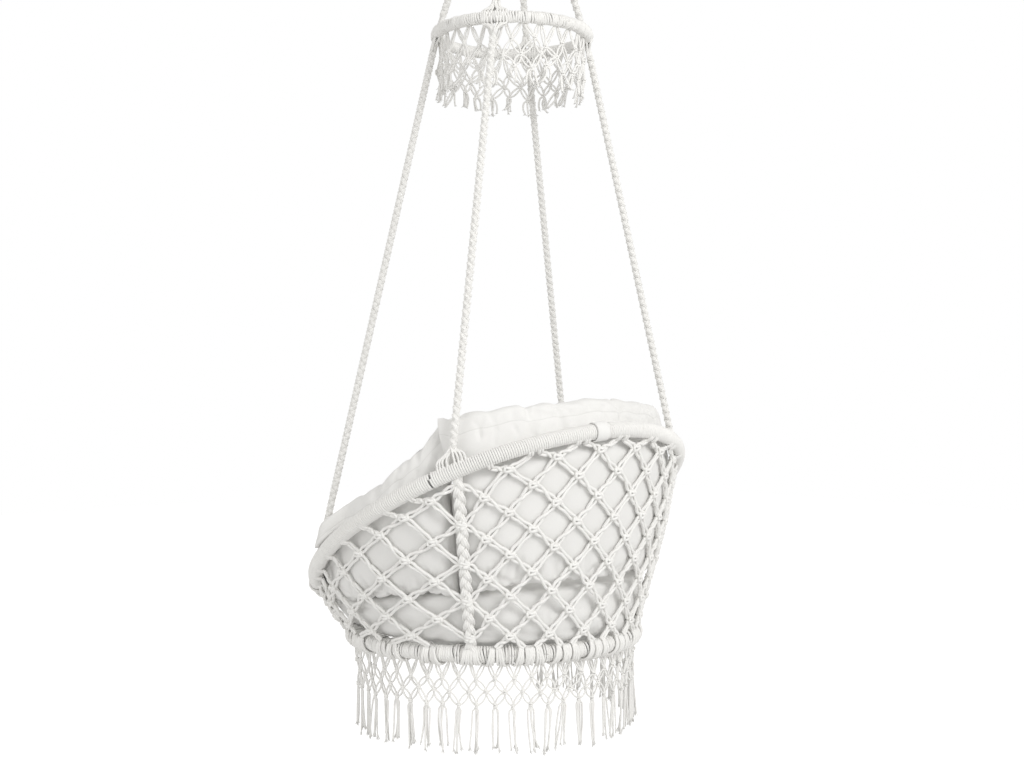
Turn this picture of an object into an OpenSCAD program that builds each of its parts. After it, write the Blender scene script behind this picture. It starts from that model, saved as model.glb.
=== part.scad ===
// Macrame hanging swing chair: a knotted net between a tilted rim hoop and a seat hoop, four plaited ropes,
// a spreader hoop with a fringe, loose cushions, and a swivel with a stirrup link at the top.
// Millimetres, +Z up, +Y towards the chair's back, +X to the sitter's left.
// The origin is the centre of the swivel's eye, which hangs on a hook.

/* [Hoops] */
// Diameter of the tilted rim hoop, to the middle of its tube
rim_d = 800; // [780:5:820]
// Diameter of the seat hoop at the bottom
seat_d = 582; // [570:2:594]
// Diameter of the spreader hoop
spreader_d = 313; // [290:1:336]
// Tilt of the rim hoop, which rises to the back
tilt = 29.5; // [28:0.5:31]
// Height of the rim's front above the seat hoop
front_rise = 34.5; // [32:0.5:40]
// Diameter of the steel tube in the rim and seat hoops
tube_d = 22; // [18:1:24]
// Diameter of the steel tube in the spreader hoop
spreader_tube_d = 14; // [12:1:16]
// Thickness of the cord wound round the hoops
wrap_cord_d = 5; // [4:0.5:5]

/* [Ropes] */
// Diameter of the plaited ropes
rope_d = 16; // [14:0.5:17]
// Height of the gathered ropes above the spreader hoop
gather_height = 440; // [380:10:500]
// Height of the spreader hoop above the rim's centre
rope_drop = 1009; // [900:5:1100]
// Height of the parted rope strands above the rim
rim_fan_h = 52; // [48:1:60]
// Angle of the back ropes on the rim, from the middle of the back
back_rope_angle = 52; // [50:0.5:54]
// Angle of the front ropes on the rim, from the middle of the back
front_rope_angle = 114.4; // [112:0.2:117]

/* [Net] */
// Width of a doubled net cord
cord_w = 12; // [10:0.5:13]
// Thickness of a doubled net cord
cord_t = 6; // [5:0.5:6.5]
// Width of a plaited rib
rib_w = 24; // [20:1:26]
// Length of a fringe tassel under the seat
tassel_len = 92; // [70:1:110]
// Knots in one row of the seat fringe
seat_fringe_count = 35; // [31:1:36]
// Knots in one row of the spreader fringe
spreader_fringe_count = 26; // [22:1:28]

/* [Cushions] */
// Thickness of the seat cushion in its middle
seat_pad_h = 90; // [84:1:96]
// Thickness of the back cushion at its crown
back_pad_t = 58; // [52:1:66]
// Thickness of the side cushions at their crown
side_pad_t = 76; // [66:1:80]

/* [Swivel] */
// Diameter of the bore in the swivel's eye
eye_bore_d = 14; // [12:0.5:15]
// Diameter of the clevis pin
pin_d = 10; // [8:0.5:11]
// Diameter of the stirrup's round bar
bar_d = 12; // [10:0.5:14]

/* [Hidden] */
// clearances
seat_gap = 0.4;
slide_gap = 0.05;
play = 0.5;

// hoop radii and the wall of their tubes
tube_wall = 1.5;
rim_r = rim_d / 2;
seat_r = seat_d / 2;
spreader_r = spreader_d / 2;
wrap_r = tube_d / 2 + wrap_cord_d;
spreader_wrap_r = spreader_tube_d / 2 + wrap_cord_d;
sleeve_gap = 0.4;

// the swivel, from the eye down
eye_r = 17;
eye_t = 12;
barrel_r = 17;
barrel_top = -15;
barrel_bottom = -50;
barrel_floor = 6;
spindle_r = 6;
head_r = 11;
head_h = 8;
washer_h = 4;
jaw_top = barrel_bottom - 0.6;
pin_head_h = 3.5;
pin_tail = 7;
clip_h = 2;
jaw_w = 26;
cheek_t = 6;
link_t = 12;
pin_z = -80;
link_eye_r = 13;

// the stirrup and the rope loops over its bar
bar_z = pin_z - 56;
arm_x = 27;
arm_r = 7;
bight_r = bar_d / 2 + seat_gap + rope_d / 2;
bight_x = rope_d / 2 + 1;
gather_top = bar_z - 30;
gather_bottom = gather_top - 44;
gather_in_r = norm([bight_x, bight_r]) + rope_d / 2 + seat_gap;
gather_cord_d = 4.4;
gather_turns = 10;

// heights of the hoops
spreader_z = gather_bottom - gather_height;
rim_z = spreader_z - rope_drop;
seat_z = rim_z - rim_r * sin(tilt) - front_rise;
// the hoops hang forward of the swivel, so that the chair's weight is under it
rim_forward = 37;
seat_forward = 58;

// the four ropes: back left, back right, front left, front right
rim_angles = [back_rope_angle, -back_rope_angle, front_rope_angle, -front_rope_angle];
spreader_angles = [55, -55, 125, -125];
rope_sides = [[1, 1], [-1, 1], [1, -1], [-1, -1]];

// strands that part from the ropes' ends
rim_strand_d = 4.6;
rim_fan_spread = 24;
upper_strand_d = 4;
upper_fan_spread = 15;
upper_fan_h = 28;
rope_end_gap = 0.8;

// the lengths of winding meet a little past each rope, with a slit between them
slit_past_rope = 5.5;
slit_half = 0.22;
back_slit = back_rope_angle + slit_past_rope;
front_slit = front_rope_angle + slit_past_rope;

// the net's columns are counted from the middle of the back, and its rows from the rim down
rib_column = 3.5;
front_column = 7.5;
rib_behind_rope = 2;
back_rib_angle = back_rope_angle - rib_behind_rope;
front_rib_angle = 124.8;
rib_angles = [back_rib_angle, -back_rib_angle, front_rib_angle, -front_rib_angle];
back_step = back_rib_angle / rib_column;
side_step = (front_rib_angle - back_rib_angle) / (front_column - rib_column);
last_row = 10;
rows_cut = 1.75;
// columns of the side net lean forward towards the seat hoop, by this angle over the whole wall
net_lean = 10;
lean_from = 0.35;
knot_half = 8;
knot_bulge = 2.5;

// the fringes
fringe_rows = [46, 72, 97];
fringe_cord_w = 4.4;
fringe_cord_t = 2.6;
fringe_knot_half = 4;
fringe_hang_shift = 0.2;
seat_fringe_reach = 116;
spreader_fringe_in = 8;
spreader_tassel_len = 58;
lacing_cord_d = 5;
past_rib = 6;
tassel_top_d = 5;
tassel_low_d = 15;

// the cushions stand clear of the wound rim and of the ropes, which lean in above it
pad_offset = wrap_r + 0.7;
pad_edge_t = 18;
pad_lean = 0.17;
pad_tuck = 7;
pad_tuck_h = 10;
pad_tuck_start = -16;
back_pad_end = back_rope_angle + 3;
side_pad_start = back_rope_angle + 4;
side_pad_end = 146;
back_pad_rise = 65;
back_pad_arch = 100;
side_pad_rise = 78;
side_pad_front_rise = 58;
pad_bottom_mean = 90;
pad_bottom_swing = 45;
pad_gap = 0.7;
strap_angle = 8.4;

// the seat cushion rests on two layers of crossed cords
web_cord_d = 6;
web_layer_z = web_cord_d / 2 + 0.2;
seat_pad_low = web_layer_z + web_cord_d / 2 + seat_gap;

// vectors
function unit(v) = v / norm(v);
function mix(a, b, t) = a + (b - a) * t;
function square_to(v, axis) = unit(v - axis * (v * axis));

// points and directions on the hoops, by the angle from the middle of the back
function rim_at(a) = [
    rim_r * sin(a),
    rim_r * cos(a) * cos(tilt) - rim_forward,
    rim_z + rim_r * cos(a) * sin(tilt)
];
function rim_along(a) = [cos(a), -sin(a) * cos(tilt), -sin(a) * sin(tilt)];
function seat_at(a) = [seat_r * sin(a), seat_r * cos(a) - seat_forward, seat_z];
function level_along(a) = [cos(a), -sin(a), 0];
function level_out(a) = [sin(a), cos(a), 0];
function spreader_at(a) = spreader_r * level_out(a) + [0, 0, spreader_z];

// the wall between the two hoops: v is 0 at the rim and 1 at the seat hoop
function wall_height(a) = rim_at(a)[2] - seat_z;
function wall_at(a, v) = mix(rim_at(a), seat_at(a), v);
function wall_down(a) = unit(seat_at(a) - rim_at(a));
function wall_side(a) = square_to(rim_along(a), wall_down(a));
function wall_out(a) = cross(wall_side(a), wall_down(a));
function rim_out(a) = unit([sin(a) * cos(tilt), cos(a), 0]);

// rope lines
function rope_up(k) = unit(spreader_at(spreader_angles[k]) - rim_at(rim_angles[k]));
function leg_foot(k) = [bight_x * rope_sides[k][0], bight_r * rope_sides[k][1], gather_bottom];
function upper_rope_up(k) = unit(leg_foot(k) - spreader_at(spreader_angles[k]));

module rod(p, q, d) {
    v = q - p;
    translate(p)
        rotate([0, acos(v[2] / norm(v)), atan2(v[1], v[0])])
            cylinder(h = norm(v), d = d, $fn = 32);
}

// turns a solid that stands on the origin along +Z, with its +X towards the hoop's tangent
module place(at, x, z) {
    y = cross(z, x);
    multmatrix([
        [x[0], y[0], z[0], at[0]],
        [x[1], y[1], z[1], at[1]],
        [x[2], y[2], z[2], at[2]],
        [0, 0, 0, 1]
    ])
        children();
}

// a length of round hoop between two angles from the middle of the back
module hoop_arc(r, tube_out, tube_in, from, to) {
    rotate([0, 0, 90 - to])
        rotate_extrude(angle = to - from, $fn = 160)
            translate([r, 0])
                difference() {
                    circle(r = tube_out, $fn = 32);
                    if (tube_in > 0)
                        circle(r = tube_in, $fn = 32);
                }
}

module on_rim() {
    translate([0, -rim_forward, rim_z])
        rotate([tilt, 0, 0])
            children();
}

module on_seat() {
    translate([0, -seat_forward, seat_z])
        children();
}

// rope strands that part from a rope's end and straddle a wound hoop; middle is the hoop's centre
module fan(foot, middle, along, rope_dir, hoop_r, height, spread, strand_d) {
    up = square_to(rope_dir, along);
    out = cross(along, up);
    across = square_to(along, rope_dir);
    ring_r = strand_d * 1.5;
    stand_off = hoop_r + strand_d / 2 + 0.2;
    straddle = 40;
    for (side = [-1, 1], k = [0:3]) {
        turn = 22.5 + 45 * k;
        aside = spread * (1 - 2 * k / 3);
        bend = (middle - foot) * pow(aside / norm(middle - foot), 2) / 2;
        tip = foot + rope_dir * height + (across * cos(turn) + out * side * sin(turn)) * ring_r;
        low = foot + along * aside + bend + (up * cos(straddle) + out * side * sin(straddle)) * stand_off;
        line = unit(tip - low);
        short = (norm(cross(line, rope_dir)) * strand_d / 2 + seat_gap) / (line * rope_dir);
        rod(low, tip - line * short, strand_d);
    }
}

// Net of flat doubled cords. A knot is a lozenge with four ports, and a cord runs from port to port.
// knot: [centre, side direction, down direction, outward direction, half size, half thickness, bulge]
// A knot's ten points: four corners in front, the same four at the back, then the two middles.
PORTS = [[2, 0], [0, 3], [3, 1], [1, 2]];
function knot_points(k) =
    let (s = k[1] * k[4], d = k[2] * k[4], o = k[3] * k[5], b = k[3] * k[6])
    [
        k[0] - s + o, k[0] + s + o, k[0] - d + o, k[0] + d + o,
        k[0] - s - o, k[0] + s - o, k[0] - d - o, k[0] + d - o,
        k[0] + o + b, k[0] - o - b
    ];
function quad(a, b, c, d) = [[a, b, c], [a, c, d]];
function knot_faces(base, bulge) =
    bulge == 0 ? concat(
        quad(base + 2, base, base + 3, base + 1),
        quad(base + 5, base + 7, base + 4, base + 6)
    )
    : [
        for (p = PORTS)
            each [[base + 8, base + p[0], base + p[1]], [base + 9, base + p[1] + 4, base + p[0] + 4]]
    ];
// cord between two ports, each given as [front p, front q, back p, back q]
function cord_faces(a, b) = concat(
    quad(a[1], a[0], b[1], b[0]),
    quad(a[2], a[3], b[2], b[3]),
    quad(b[1], a[0], a[2], b[3]),
    quad(a[1], b[0], b[2], a[3])
);
function port(base, n) =
    let (p = base + PORTS[n][0], q = base + PORTS[n][1])
    [p, q, p + 4, q + 4];
function cap_port(a) = quad(a[1], a[0], a[2], a[3]);
// a cord's far end: four points, and the face that closes it
function end_port(base) = [base, base + 1, base + 2, base + 3];
function cap_end(e) = quad(e[0], e[1], e[3], e[2]);
function end_points(e) =
    let (half = e[1] / 2, o = e[2])
    [e[0] - half + o, e[0] + half + o, e[0] - half - o, e[0] + half - o];

// links: [knot, port, knot, port]; ends: [knot, port, [centre, width vector, half thickness vector]]
module net(knots, links, ends, bare) {
    first_end = 10 * len(knots);
    points = concat(
        [for (k = knots) each knot_points(k)],
        [for (e = ends) each end_points(e[2])]
    );
    faces = concat(
        [for (i = [0:len(knots) - 1]) each knot_faces(10 * i, knots[i][6])],
        [for (l = links) each cord_faces(port(10 * l[0], l[1]), port(10 * l[2], l[3]))],
        [
            for (i = [0:len(ends) - 1])
                let (from = port(10 * ends[i][0], ends[i][1]), to = end_port(first_end + 4 * i))
                each concat(cord_faces(from, to), cap_end(to))
        ],
        [for (b = bare) each cap_port(port(10 * b[0], b[1]))]
    );
    polyhedron(points, faces, convexity = 10);
}

// the four ports' steps to the next knot, as [column, row]:
// up and back, down and back, down and on, up and on
STEPS = [[-0.5, -1], [-0.5, 1], [0.5, 1], [0.5, -1]];
OPPOSITE = [2, 3, 0, 1];

// rows of the side net start at the rim, which cuts more of them for each column past the back ribs
function past_ribs(c) = max(0, abs(c) - rib_column);
function rim_row(c) = 0.2 + rows_cut * past_ribs(c);
function column_lean(c) = net_lean * sin(180 * past_ribs(c) / (front_column - rib_column));
function net_angle(c, v) =
    let (upright = min(abs(c), rib_column) * back_step + past_ribs(c) * side_step)
    sign(c) * (upright + column_lean(c) * (v - lean_from));
function net_v(c, r) = (r - rim_row(c)) / (last_row - rim_row(c));
function net_knot(c, r) =
    let (v = net_v(c, r), a = net_angle(c, v))
    [wall_at(a, v), wall_side(a), wall_down(a), wall_out(a), knot_half, cord_t / 2, knot_bulge];
function net_columns(from, to) = [
    for (n = [2 * from + 1:2 * to - 1], r = [1:last_row - 1])
        if (r > rim_row(n / 2) + 0.5 && (n + r) % 2 == 0)
            [n / 2, r]
];
function index_of(spot, spots) =
    let (found = [for (i = [0:len(spots) - 1]) if (spots[i] == spot) i])
    len(found) > 0 ? found[0] : -1;

// where a cord that leaves the panel ends: on a rib, on the seat hoop or on the rim
function net_end(c, r, n, from, to) =
    let (
        next = [c, r] + STEPS[n],
        side = STEPS[n][0] > 0 ? 1 : -1,
        fall = STEPS[n][1],
        at_edge = next[0] == from || next[0] == to,
        at_rib = at_edge && next[1] > rim_row(next[0]) && next[1] < last_row,
        a = net_angle(next[0], lean_from),
        out = wall_out(a) * cord_t / 2
    )
    at_rib ? rib_end(next, side, fall, out)
    : fall > 0 ? seat_end(net_angle(c + side * (at_edge ? 0.2 : 0.36), 1))
    : rim_end(net_angle(c + side * (at_edge ? 0.2 : 0.4), 0));
function rib_end(next, side, fall, out) =
    let (
        a = net_angle(next[0], lean_from),
        foot = wall_at(a, net_v(next[0], next[1])) - wall_down(a) * fall * cord_w * 0.7
    )
    [foot - wall_side(a) * side * (rib_w / 2 + seat_gap), wall_down(a) * side * cord_w, out];
function rim_end(a) =
    let (along = rim_along(a), down = square_to(wall_down(a), along))
    [rim_at(a) + down * (wrap_r + seat_gap), along * cord_w, cross(along, down) * cord_t / 2];
function seat_end(a) =
    let (along = level_along(a), up = square_to(-wall_down(a), along))
    [seat_at(a) + up * (wrap_r + seat_gap), -along * cord_w, cross(up, along) * cord_t / 2];

module net_panel(from, to) {
    spots = net_columns(from, to);
    knots = [for (s = spots) net_knot(s[0], s[1])];
    links = [
        for (i = [0:len(spots) - 1], n = [1, 2])
            let (j = index_of(spots[i] + STEPS[n], spots))
            if (j >= 0) [i, n, j, OPPOSITE[n]]
    ];
    ends = [
        for (i = [0:len(spots) - 1], n = [0:3])
            if (index_of(spots[i] + STEPS[n], spots) < 0)
                [i, n, net_end(spots[i][0], spots[i][1], n, from, to)]
    ];
    net(knots, links, ends, []);
}

// Fringe of three rows of knots on a level circle, which hangs this far inside the hoop's middle line.
// It reaches this angle to both sides of the middle of the back, and all round at 180.
function fringe_step(count, reach) = reach < 180 ? 2 * reach / (count - 1) : 360 / count;
function fringe_first(reach) = reach < 180 ? -reach : 0;

module fringe(hoop_r, hoop_wrap_r, inside, count, reach) {
    step = fringe_step(count, reach);
    first = fringe_first(reach);
    between = reach < 180 ? count - 1 : count;
    low = count + between;
    r = hoop_r - inside;
    drop = sqrt(pow(hoop_wrap_r, 2) - pow(max(0, inside - fringe_cord_t / 2), 2)) + seat_gap;
    spots = concat(
        [for (i = [0:count - 1]) [i, fringe_rows[0]]],
        [for (i = [0:between - 1]) [i + 0.5, fringe_rows[1]]],
        [for (i = [0:count - 1]) [i, fringe_rows[2]]]
    );
    knots = [
        for (s = spots)
            let (a = first + s[0] * step)
            [
                r * level_out(a) - [0, 0, s[1]], level_along(a), [0, 0, -1], level_out(a),
                fringe_knot_half, fringe_cord_t / 2, 0
            ]
    ];
    links = [
        for (i = [0:between - 1])
            let (next = (i + 1) % count)
            each [
                [i, 2, count + i, 0],
                [next, 1, count + i, 3],
                [count + i, 2, low + next, 0],
                [count + i, 1, low + i, 3]
            ]
    ];
    ends = [
        for (i = [0:count - 1], n = [0, 3])
            let (a = first + (i + (n == 3 ? fringe_hang_shift : -fringe_hang_shift)) * step)
            [
                i, n,
                [
                    r * level_out(a) - [0, 0, drop],
                    level_along(a) * fringe_cord_w,
                    level_out(a) * fringe_cord_t / 2
                ]
            ]
    ];
    bare = concat(
        [for (i = [0:count - 1], n = [1, 2]) [low + i, n]],
        reach < 180 ? [[0, 1], [count - 1, 2], [low, 0], [low + count - 1, 3]] : []
    );
    net(knots, links, ends, bare);
}

module tassels(r, count, reach, length) {
    top = fringe_rows[2] + fringe_knot_half + seat_gap;
    for (i = [0:count - 1])
        translate(r * level_out(fringe_first(reach) + i * fringe_step(count, reach)) - [0, 0, top + length])
            cylinder(h = length, d1 = tassel_low_d, d2 = tassel_top_d, $fn = 20);
}

// a soft panel between two grids of points, drawn in at its edges
module pad(front, back) {
    nu = len(front) - 1;
    nv = len(front[0]) - 1;
    count = (nu + 1) * (nv + 1);
    function at(i, j) = i * (nv + 1) + j;
    edge = concat(
        [for (i = [0:nu - 1]) [at(i, 0), at(i + 1, 0)]],
        [for (j = [0:nv - 1]) [at(nu, j), at(nu, j + 1)]],
        [for (i = [0:nu - 1]) [at(nu - i, nv), at(nu - i - 1, nv)]],
        [for (j = [0:nv - 1]) [at(0, nv - j), at(0, nv - j - 1)]]
    );
    points = concat([for (row = front) each row], [for (row = back) each row]);
    faces = concat(
        [
            for (i = [0:nu - 1], j = [0:nv - 1])
                each quad(at(i, j), at(i, j + 1), at(i + 1, j + 1), at(i + 1, j))
        ],
        [
            for (i = [0:nu - 1], j = [0:nv - 1])
                each quad(
                    count + at(i, j), count + at(i + 1, j), count + at(i + 1, j + 1), count + at(i, j + 1)
                )
        ],
        [for (e = edge) each quad(e[0], e[1], count + e[1], count + e[0])]
    );
    polyhedron(points, faces, convexity = 6);
}

// solid of stacked rings of points, closed by a middle point below and above
module stacked(rings, low, high) {
    n = len(rings[0]);
    last = len(rings) - 1;
    bottom = n * len(rings);
    top = bottom + 1;
    faces = concat(
        [
            for (i = [0:last - 1], j = [0:n - 1])
                let (k = (j + 1) % n)
                each quad(i * n + j, i * n + k, (i + 1) * n + k, (i + 1) * n + j)
        ],
        [for (j = [0:n - 1]) [bottom, (j + 1) % n, j]],
        [for (j = [0:n - 1]) [top, last * n + j, last * n + (j + 1) % n]]
    );
    polyhedron(concat([for (r = rings) each r], [low, high]), faces, convexity = 4);
}

// heights of the cushions' edges: above the rim, and above the seat hoop
function back_rise(a) = back_pad_rise + back_pad_arch * (1 - cos(a));
function side_rise(a) =
    mix(side_pad_rise, side_pad_front_rise, (a - side_pad_start) / (side_pad_end - side_pad_start));
function pad_rise(a) = abs(a) <= back_pad_end ? back_rise(a) : side_rise(abs(a));
function pad_bottom(a) = pad_bottom_mean + pad_bottom_swing * cos(a);
// swelling of a cushion: full in the middle, drawn in at its edges
function swell(u, v) = pow(max(0, 1 - pow(abs(2 * u - 1), 3)), 0.55) * pow(max(0, sin(180 * v)), 0.6);

// line that a cushion's outer side follows, z above the seat hoop: the wall, then leaning in above the rim
function tuck(over) = pad_tuck * max(0, min(1, (over - pad_tuck_start) / pad_tuck_h));
function bowl_line(a, z) =
    let (over = z - wall_height(a), inward = rim_out(a) * (pad_lean * max(0, over) + tuck(over)))
    (over < 0 ? wall_at(a, -over / wall_height(a)) : rim_at(a) + [0, 0, over]) - inward;
function inside_bowl(a, z, inset) = bowl_line(a, z) - wall_out(a) * (pad_offset + inset);

// curved panel between two angles, t thick at its crown
module wall_pad(from, to, t, nu, nv) {
    function side(swollen) = [
        for (i = [0:nu])
            let (u = i / nu, a = mix(from, to, u), top = wall_height(a) + pad_rise(a))
            [
                for (j = [0:nv])
                    let (v = j / nv, thick = pad_edge_t + (t - pad_edge_t) * swell(u, v))
                    inside_bowl(a, mix(top, pad_bottom(a), v), swollen ? thick : 0)
            ]
    ];
    pad(side(false), side(true));
}

module swivel_eye() {
    color("Silver")
        difference() {
            union() {
                rotate([90, 0, 0])
                    cylinder(h = eye_t, r = eye_r, center = true, $fn = 64);
                translate([-eye_t, -eye_t / 2, barrel_top - 2])
                    cube([2 * eye_t, eye_t, eye_r - 2]);
                translate([0, 0, barrel_bottom])
                    cylinder(h = barrel_top - barrel_bottom, r = barrel_r, $fn = 64);
            }
            rotate([90, 0, 0])
                cylinder(h = eye_t + 2, d = eye_bore_d, center = true, $fn = 64);
            translate([0, 0, barrel_bottom + barrel_floor])
                cylinder(h = head_h + washer_h + 3, r = head_r + play, $fn = 64);
            translate([0, 0, barrel_bottom - 1])
                cylinder(h = barrel_floor + 2, r = spindle_r + slide_gap, $fn = 64);
        }
}

module thrust_washer() {
    color("Goldenrod")
        translate([0, 0, barrel_bottom + barrel_floor + slide_gap])
            difference() {
                cylinder(h = washer_h, r = head_r, $fn = 64);
                translate([0, 0, -1])
                    cylinder(h = washer_h + 2, r = spindle_r + 0.3, $fn = 64);
            }
}

module swivel_jaw() {
    head_z = barrel_bottom + barrel_floor + washer_h + 2 * slide_gap;
    crotch_z = pin_z + link_eye_r + 3;
    color("Silver")
        difference() {
            union() {
                translate([0, 0, head_z])
                    cylinder(h = head_h, r = head_r, $fn = 64);
                translate([0, 0, jaw_top - 1])
                    cylinder(h = head_z - jaw_top + 2, r = spindle_r, $fn = 64);
                translate([-jaw_w / 2, -link_t / 2 - play - cheek_t, pin_z])
                    cube([jaw_w, link_t + 2 * (play + cheek_t), jaw_top - pin_z]);
                translate([0, 0, pin_z])
                    rotate([90, 0, 0])
                        cylinder(h = link_t + 2 * (play + cheek_t), d = jaw_w, center = true, $fn = 64);
            }
            translate([-jaw_w, -link_t / 2 - play, pin_z - jaw_w])
                cube([2 * jaw_w, link_t + 2 * play, jaw_w + crotch_z - pin_z]);
            translate([0, 0, pin_z])
                rotate([90, 0, 0])
                    cylinder(h = 60, r = pin_d / 2 + slide_gap, center = true, $fn = 64);
        }
}

module jaw_pin() {
    reach = link_t / 2 + play + cheek_t;
    color("DimGray")
        translate([0, 0, pin_z])
            rotate([90, 0, 0]) {
                translate([0, 0, -reach - pin_tail])
                    cylinder(h = 2 * reach + pin_tail + 1, d = pin_d, $fn = 64);
                translate([0, 0, reach + slide_gap])
                    cylinder(h = pin_head_h, d = pin_d + 6, $fn = 64);
            }
}

module pin_clip() {
    reach = link_t / 2 + play + cheek_t;
    color("DimGray")
        translate([0, reach + seat_gap, pin_z])
            rotate([-90, 0, 0])
                difference() {
                    cylinder(h = clip_h, d = pin_d + 8, $fn = 48);
                    translate([0, 0, -1])
                        cylinder(h = clip_h + 2, r = pin_d / 2 + slide_gap, $fn = 48);
                }
}

module stirrup_outline() {
    corner = [arm_x, -18];
    for (side = [-1, 1]) {
        hull() {
            circle(r = link_eye_r, $fn = 32);
            translate([side * corner[0], corner[1]])
                circle(r = arm_r, $fn = 32);
        }
        hull() {
            translate([side * corner[0], corner[1]])
                circle(r = arm_r, $fn = 32);
            translate([side * arm_x, bar_z - pin_z])
                circle(r = arm_r, $fn = 32);
        }
    }
}

module stirrup() {
    color("Silver")
        difference() {
            union() {
                translate([0, 0, pin_z])
                    rotate([90, 0, 0])
                        linear_extrude(link_t, center = true)
                            stirrup_outline();
                translate([0, 0, bar_z])
                    rotate([0, 90, 0])
                        cylinder(h = 2 * arm_x, d = bar_d, center = true, $fn = 64);
            }
            translate([0, 0, pin_z])
                rotate([90, 0, 0])
                    cylinder(h = link_t + 2, r = pin_d / 2 + slide_gap, center = true, $fn = 64);
        }
}

module bight(side) {
    color("Ivory")
        translate([side * bight_x, 0, bar_z]) {
            rotate([90, 0, 90])
                rotate_extrude(angle = 180, $fn = 64)
                    translate([bight_r, 0])
                        circle(d = rope_d, $fn = 32);
            for (y = [-1, 1])
                translate([0, y * bight_r, gather_bottom - bar_z])
                    cylinder(h = bar_z - gather_bottom, d = rope_d, $fn = 32);
        }
}

module gather_wrap() {
    pitch = (gather_top - gather_bottom) / gather_turns;
    color("Ivory")
        translate([0, 0, gather_bottom])
            rotate_extrude($fn = 64)
                union() {
                    translate([gather_in_r, 0])
                        square([gather_cord_d / 2, gather_top - gather_bottom]);
                    for (n = [0:gather_turns - 1])
                        translate([gather_in_r + gather_cord_d / 2, (n + 0.5) * pitch])
                            circle(d = pitch * 0.99, $fn = 24);
                }
}

module upper_rope(k) {
    at = spreader_at(spreader_angles[k]);
    up = upper_rope_up(k);
    // the rope leaves the gather at a slant, so its flat end stands off by half its width times the slope
    bend_gap = (rope_d / 2 * norm([up[0], up[1]]) + seat_gap) / up[2];
    color("Ivory")
        rod(at + up * (spreader_wrap_r + upper_fan_h), leg_foot(k) - up * bend_gap, rope_d);
}

module upper_fan(k) {
    a = spreader_angles[k];
    color("Ivory")
        fan(
            spreader_at(a), [0, 0, spreader_z], level_along(a), upper_rope_up(k), spreader_wrap_r,
            spreader_wrap_r + upper_fan_h, upper_fan_spread, upper_strand_d
        );
}

module lower_rope(k) {
    up = rope_up(k);
    color("Ivory")
        rod(
            rim_at(rim_angles[k]) + up * rim_fan_h,
            spreader_at(spreader_angles[k]) - up * (spreader_wrap_r + rope_end_gap),
            rope_d
        );
}

module rim_fan(k) {
    a = rim_angles[k];
    color("Ivory")
        fan(
            rim_at(a), [0, -rim_forward, rim_z], rim_along(a), rope_up(k), wrap_r,
            rim_fan_h, rim_fan_spread, rim_strand_d
        );
}

module spreader_hoop() {
    color("DimGray")
        translate([0, 0, spreader_z])
            hoop_arc(spreader_r, spreader_tube_d / 2, spreader_tube_d / 2 - tube_wall, 0, 360);
}

module spreader_wrap() {
    color("Ivory")
        translate([0, 0, spreader_z])
            hoop_arc(spreader_r, spreader_wrap_r, spreader_tube_d / 2 + sleeve_gap, 0, 360);
}

module spreader_fringe() {
    color("Ivory")
        translate([0, 0, spreader_z])
            fringe(spreader_r, spreader_wrap_r, spreader_fringe_in, spreader_fringe_count, 180);
}

module spreader_tassels() {
    color("Ivory")
        translate([0, 0, spreader_z])
            tassels(spreader_r - spreader_fringe_in, spreader_fringe_count, 180, spreader_tassel_len);
}

module rim_hoop() {
    color("DimGray")
        on_rim()
            hoop_arc(rim_r, tube_d / 2, tube_d / 2 - tube_wall, 0, 360);
}

module rim_wrap(from, to) {
    color("Ivory")
        on_rim()
            hoop_arc(rim_r, wrap_r, tube_d / 2 + sleeve_gap, from + slit_half, to - slit_half);
}

module seat_hoop() {
    color("DimGray")
        on_seat()
            hoop_arc(seat_r, tube_d / 2, tube_d / 2 - tube_wall, 0, 360);
}

module seat_wrap() {
    color("Ivory")
        on_seat()
            hoop_arc(seat_r, wrap_r, tube_d / 2 + sleeve_gap, 0, 360);
}

// plaited rib from the rim to the seat hoop, flat like a strap with bevelled edges and cut to fit the hoops
module rib(k) {
    a = rib_angles[k];
    half = rib_w / 2;
    edge = 3;
    thick = 6.5;
    bevel = 4;
    reach = 12;
    start = wrap_r - 4;
    down = wall_down(a);
    length = norm(seat_at(a) - rim_at(a)) - 2 * start;
    color("Ivory")
        difference() {
            place(rim_at(a) + down * start, wall_side(a), down)
                linear_extrude(length)
                    polygon([
                        [half, -edge], [half, edge], [half - bevel, thick], [bevel - half, thick],
                        [-half, edge], [-half, -edge], [bevel - half, -thick], [half - bevel, -thick]
                    ]);
            on_rim()
                hoop_arc(rim_r, wrap_r + seat_gap, 0, a - reach, a + reach);
            on_seat()
                hoop_arc(seat_r, wrap_r + seat_gap, 0, a - reach, a + reach);
        }
}

module net_back() {
    color("Ivory")
        net_panel(-rib_column, rib_column);
}

module net_left() {
    color("Ivory")
        net_panel(rib_column, front_column);
}

module net_right() {
    color("Ivory")
        net_panel(-front_column, -rib_column);
}

// zigzag cord between the hoops where they nearly meet at the front
module front_lacing() {
    count = 14;
    first = front_rib_angle + past_rib;
    step = (360 - 2 * first) / count;
    // a cord that meets the hoop at a slant starts further along its line
    function lacing_gap(line, along) =
        (wrap_r + seat_gap + abs(line * along) * lacing_cord_d / 2) / norm(cross(line, along));
    color("Ivory")
        for (i = [0:count - 1]) {
            a = first + step * (i + 0.2);
            b = first + step * (i + 0.8);
            high = i % 2 == 0 ? a : b;
            low = i % 2 == 0 ? b : a;
            line = unit(seat_at(low) - rim_at(high));
            rod(
                rim_at(high) + line * lacing_gap(line, rim_along(high)),
                seat_at(low) - line * lacing_gap(line, level_along(low)),
                lacing_cord_d
            );
        }
}

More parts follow.
